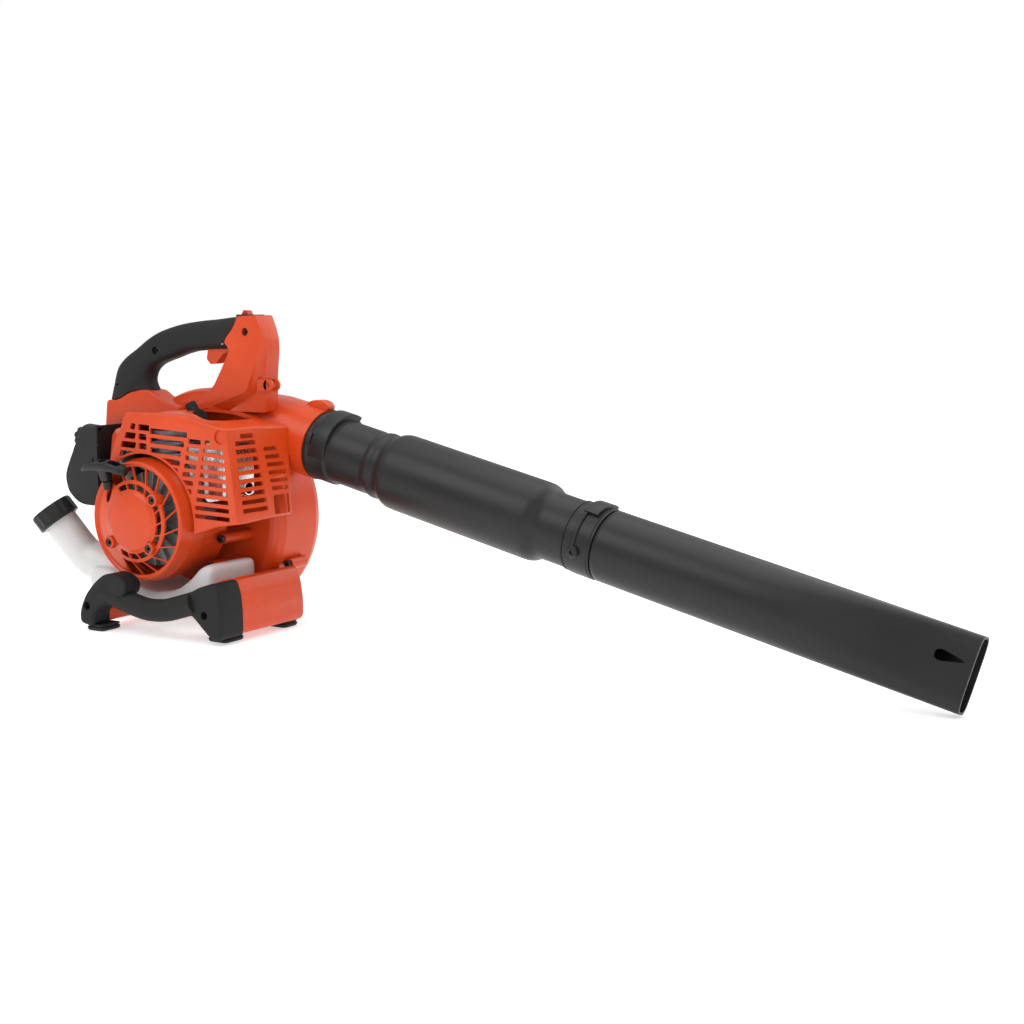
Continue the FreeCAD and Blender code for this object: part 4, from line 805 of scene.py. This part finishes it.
def handle_grip():
    """Soft grip: rounded sections along the arch, cut to the column's S-shaped seam."""
    rows = smoothed([(*outer, *inner) for outer, inner in GRIP], 6)
    rings = []
    for ox, oz, ix, iz in rows:
        mid = Vector(((ox + ix) / 2, (oz + iz) / 2))
        half = Vector((ox - ix, oz - iz)) / 2
        ring = []
        for angle in turn_angles(56):
            c, h = squared_turn(angle, 0.72)
            ring.append(at(mid.x + half.x * h, HANDLE_Y + c * GRIP_HALF, mid.y + half.y * h))
        rings.append(ring)
    grip = solid(skin(rings))
    seam = [(x - 0.25 if x < 80 else x + 20, z) for x, z in COLUMN]
    seam[0] = (seam[0][0], 240)
    seam[1] = (seam[1][0], 240)
    root = [(-160, 121), (-137.5, 129.3), (-124, 127.9), (-112, 132.3), (-101, 138.3), (-84, 141.9),
            (-60, 142.3), (-50, 120), (-50, 60), (-160, 60)]
    combine(grip, [slab(softened(seam, 2.0, 2), 90, 146), slab(root, 90, 146)])
    combine(grip, [slab(TRIGGER_SLOT, HANDLE_Y - 7.1, HANDLE_Y + 7.1)])
    combine(grip, [screw_well(x, z, 4.8, 96, HANDLE_Y - 7) for x, z in HANDLE_SCREWS[1:]])
    piece(grip, "grip_sleeve", "grip_rubber", "housing", "handle_grip", edge=0.5, sharp=44)


# ---- air filter cover ----
FILTER = [(-88, 103), (-91, 102.5), (-105, 97.5), (-116, 90), (-124.5, 80), (-130, 68), (-136, 57),
          (-141.4, 44.6), (-141.4, 35.5), (-138, 24), (-131, 17), (-123, 11.5), (-114, 8.6), (-103, 8.0),
          (-88, 8.0)]
FILTER_FACES = (38.2, 101.3)
FILTER_WALL = 2.6


def filter_cover():
    """Teardrop hood, open towards the carburettor, with a boss for its knob."""
    def hood(inset, y0, y1, open_to):
        outline = []
        for x, z in FILTER:
            x = open_to if x > -89 else x + inset * (1.0 if x < -95 else 0.3)
            outline.append((x, z + inset * (-1 if z > 45 else 1)))
        return slab(softened(outline, 7, 3), y0, y1)

    outer = hood(0, *FILTER_FACES, -88)
    rounded(outer, end_edges(outer, *FILTER_FACES), 7, 6)
    cover = solid(outer)
    combine(cover, [hood(FILTER_WALL, 41, 98.5, -80)])
    boss = lathe([(-112, 4.3), (-112, 15), (-138, 17), (-141, 16.2), (-142, 15), (-142, 4.3)],
                 lambda s, a, b: at(s, 75 + a, 84 + b), 64)
    combine(cover, [boss], "UNION")
    notch = [lathe([(30, 0.05), (30, 7.2), (46, 7.2), (46, 0.05)], axle(-90, 60), 32),
             slab([(-90, 0), (-70, 0), (-70, 110), (-87.8, 110), (-87.8, 0)], 30, 110)]
    combine(cover, notch)
    piece(cover, "filter_hood", "black_shell", "filter_lid", "filter_cover", edge=0.5, sharp=42)


# ---- stand ----
LEG_START = 30.0             # where the front rail leaves its rubber end piece
LEG_END = 137
LEG_WALL = 2.6
BAR_HALF_WIDE = 11.8
BAR_HALF_TALL = 12.8


def support_handle():
    """Second-hand bar in one moulding with the end pieces that cap the legs."""
    rear = [(-69, -110), (-68, -119), (-60, -121.4), (-46, -121), (-45, -106), (-30, -94), (-16, -87),
            (2, -82), (6, -70), (-4, -61), (-18, -58), (-31, -61), (-46, -72), (-59, -86), (-66, -99)]
    front = [(85, -75), (104, -65), (124, -58.5), (131, -59.5), (136, -74), (138, -92), (138, -116),
             (134, -121), (122, -121), (112, -113), (102, -104), (94, -97.5), (85, -96)]
    shells = []
    for outline, y0, y1 in ((rear, -16, 8.0), (front, -6, LEG_START - 0.3)):
        mesh = slab(softened(outline, 5, 3), y0, y1)
        shells.append(rounded(mesh, end_edges(mesh, y0), 3.4, 5))
    line = smoothed([(-36, -6, -80), (-14, -4.5, -87.5), (10, -3.2, -94), (31, -3, -96.8), (54, -2, -95),
                     (76, -1, -89), (95, 0, -83)], 6)
    rings = []
    for k, here in enumerate(line):
        ahead = (line[min(k + 1, len(line) - 1)] - line[max(k - 1, 0)]).normalized()
        side = ahead.cross(Vector((0, 1, 0))).normalized()
        across = side.cross(ahead)
        ring = []
        for angle in turn_angles(44):
            point = here + across * BAR_HALF_WIDE * math.cos(angle) + side * BAR_HALF_TALL * math.sin(angle)
            ring.append(at(*point))
        rings.append(ring)
    bar = merged(shells)
    combine(bar, [skin(rings)], "UNION")
    combine(bar, [screw_well(-56, -99, 4.7, -30, -8), screw_well(113, -95, 4.7, -20, 4)])
    piece(bar, "support_bar", "grip_rubber", "housing", "support_handle", edge=0.6, sharp=44)


def legs():
    """The two orange rails of the stand, rounded at their far ends."""
    rear = [(-67, -107), (-61, -98), (-50, -100), (-45, -104), (-45, -119), (-64, -119)]
    front = [(94, -72), (104, -62), (122, -57.5), (129, -59), (134.5, -74), (137.6, -94), (137.6, -113),
             (134, -119.5), (98, -119.5), (94, -112)]
    for name, outline, y0, node in (("stand_rail_rear", rear, 8.3, "rear_leg"),
                                    ("stand_rail_front", front, LEG_START, "front_leg")):
        mesh = slab(softened(outline, 4, 4), y0, LEG_END)
        rail = solid(rounded(mesh, end_edges(mesh, LEG_END), 3.6, 5))
        centre_x = sum(p[0] for p in outline) / len(outline)
        inside = [(x + (LEG_WALL if x < centre_x else -LEG_WALL), z + (LEG_WALL if z < -90 else -LEG_WALL))
                  for x, z in outline]
        combine(rail, [slab(inside, y0 - 4, LEG_END - 4)])
        piece(rail, name, "orange_shell", "housing", node, edge=0.5, sharp=42)


def foot_pads():
    """Four moulded feet with a rounded tread and a lip above it."""
    pads = []
    for x0, x1, y0, y1, top in ((-62, -36, -13, 18, -120.6), (100, 128, 12, 44, -119.3),
                                (-66, -44, 110, 135, -118.8), (101, 128, 112, 138, -119.3)):
        rings = []
        for z, inset in ((-128, 2.4), (-127.4, 1.0), (-126, 0.3), (-124.4, 0), (-123.4, 0.8), (-123.2, 1.8),
                         (-122.6, 1.8), (-122.2, 0.5), (top, 0.5)):
            outline = softened([(x0 + inset, y0 + inset), (x1 - inset, y0 + inset), (x1 - inset, y1 - inset),
                                (x0 + inset, y1 - inset)], 5, 5)
            rings.append([at(x, y, z) for x, y in outline])
        pads.append(skin(rings))
    piece(merged(pads), "feet", "foot_rubber", "housing", "foot_pads", sharp=40)


def latch_hook():
    """Thick hook over the outlet rim that the tube's collar turns under."""
    outer = smoothed([(134, 113), (134.5, 122), (138, 130.5), (146, 134), (157, 134), (165, 130.5),
                      (167, 124.5), (163.5, 122)], 4)
    inner = smoothed([(158, 123.6), (152, 125), (146, 123.2), (143.6, 118), (143, 113)], 4)
    sides = (148, 162)
    mesh = slab(outer + inner, *sides)
    hook = solid(rounded(mesh, end_edges(mesh, *sides), 2.6, 4))
    combine(hook, [lathe([(-40, 0.05), (-40, 41.6), (40, 41.6), (40, 0.05)], on_tube, 96)])
    piece(hook, "rim_hook", "orange_shell", "housing", "latch_tab", sharp=50)


def dress_cad_nodes():
    """Every CAD node gets its slot's material and softened edges."""
    slots = {part["node"]: part["material_slot"] for part in frame["record"]["subparts"]}
    for name, obj in frame["nodes"].items():
        obj.data.materials.clear()
        obj.data.materials.append(SLOT_MATERIALS[slots[name]])
        edge = obj.modifiers.new("edges", "BEVEL")
        edge.width = 0.6 * MM
        edge.segments = 2
        edge.limit_method = "ANGLE"
        edge.angle_limit = math.radians(35)
        edge.use_clamp_overlap = True


# ---- stage ----
def stage():
    """White floor and world: the camera sees plain white, while the lighting is a little dimmer."""
    floor_mat, nodes, links, shader = material("floor")
    grain = noise(nodes, links, 3.0, 2.0)
    links.new(blended(nodes, links, grain.outputs["Fac"], (0.93, 0.93, 0.93), (0.95, 0.95, 0.95)),
              shader.inputs["Base Color"])
    shader.inputs["Roughness"].default_value = 0.9
    shader.inputs["Emission Color"].default_value = (1, 1, 1, 1)
    shader.inputs["Emission Strength"].default_value = 0.42
    bpy.ops.mesh.primitive_plane_add(size=60)
    floor = bpy.context.active_object
    floor.name = "floor"
    floor.data.materials.append(floor_mat)
    world = bpy.data.worlds.new("studio")
    bpy.context.scene.world = world
    world.use_nodes = True
    background = world.node_tree.nodes["Background"]
    background.inputs["Color"].default_value = (1.0, 1.0, 1.0, 1)
    seen = world.node_tree.nodes.new("ShaderNodeLightPath")
    level = world.node_tree.nodes.new("ShaderNodeMapRange")
    level.inputs["To Min"].default_value = 0.62
    level.inputs["To Max"].default_value = 1.0
    world.node_tree.links.new(seen.outputs["Is Camera Ray"], level.inputs["Value"])
    world.node_tree.links.new(level.outputs["Result"], background.inputs["Strength"])


def soft_light(name, place, target, size, power):
    data = bpy.data.lights.new(name, "AREA")
    data.energy = power
    data.size = size
    lamp = bpy.data.objects.new(name, data)
    bpy.context.scene.collection.objects.link(lamp)
    lamp.location = place
    lamp.rotation_euler = (Vector(target) - Vector(place)).to_track_quat("-Z", "Y").to_euler()


def lights_and_camera():
    middle = (CAD_BOX[0] + CAD_BOX[1]) / 2
    soft_light("key", (-0.9, -1.6, 1.9), middle, 1.4, 21)
    soft_light("fill", (1.7, -1.5, 1.0), middle, 1.6, 8)
    soft_light("top", (0.1, 0.3, 2.2), middle, 2.0, 22)
    soft_light("back", (0.6, 1.8, 1.3), middle, 1.6, 12)
    data = bpy.data.cameras.new("camera")
    camera = bpy.data.objects.new("camera", data)
    bpy.context.scene.collection.objects.link(camera)
    bpy.context.scene.camera = camera
    data.lens = 56.25
    data.sensor_width = 36.0
    azimuth = math.radians(31.7)
    elevation = math.radians(7.4)
    camera.location = at(1303.8, -1292.6, 243.2)
    look = Vector((-math.sin(azimuth) * math.cos(elevation), math.cos(azimuth) * math.cos(elevation),
                   -math.sin(elevation)))
    camera.rotation_euler = look.to_track_quat("-Z", "Y").to_euler()


dress_cad_nodes()
silencer_tube()
nozzle_tube()
fuel_cap()
fuel_tank()
engine_cover()
starter_cover()
starter_grip()
handle_shells()
handle_grip()
filter_cover()
support_handle()
legs()
foot_pads()
latch_hook()
stage()
lights_and_camera()
bpy.context.scene.view_settings.view_transform = "Standard"
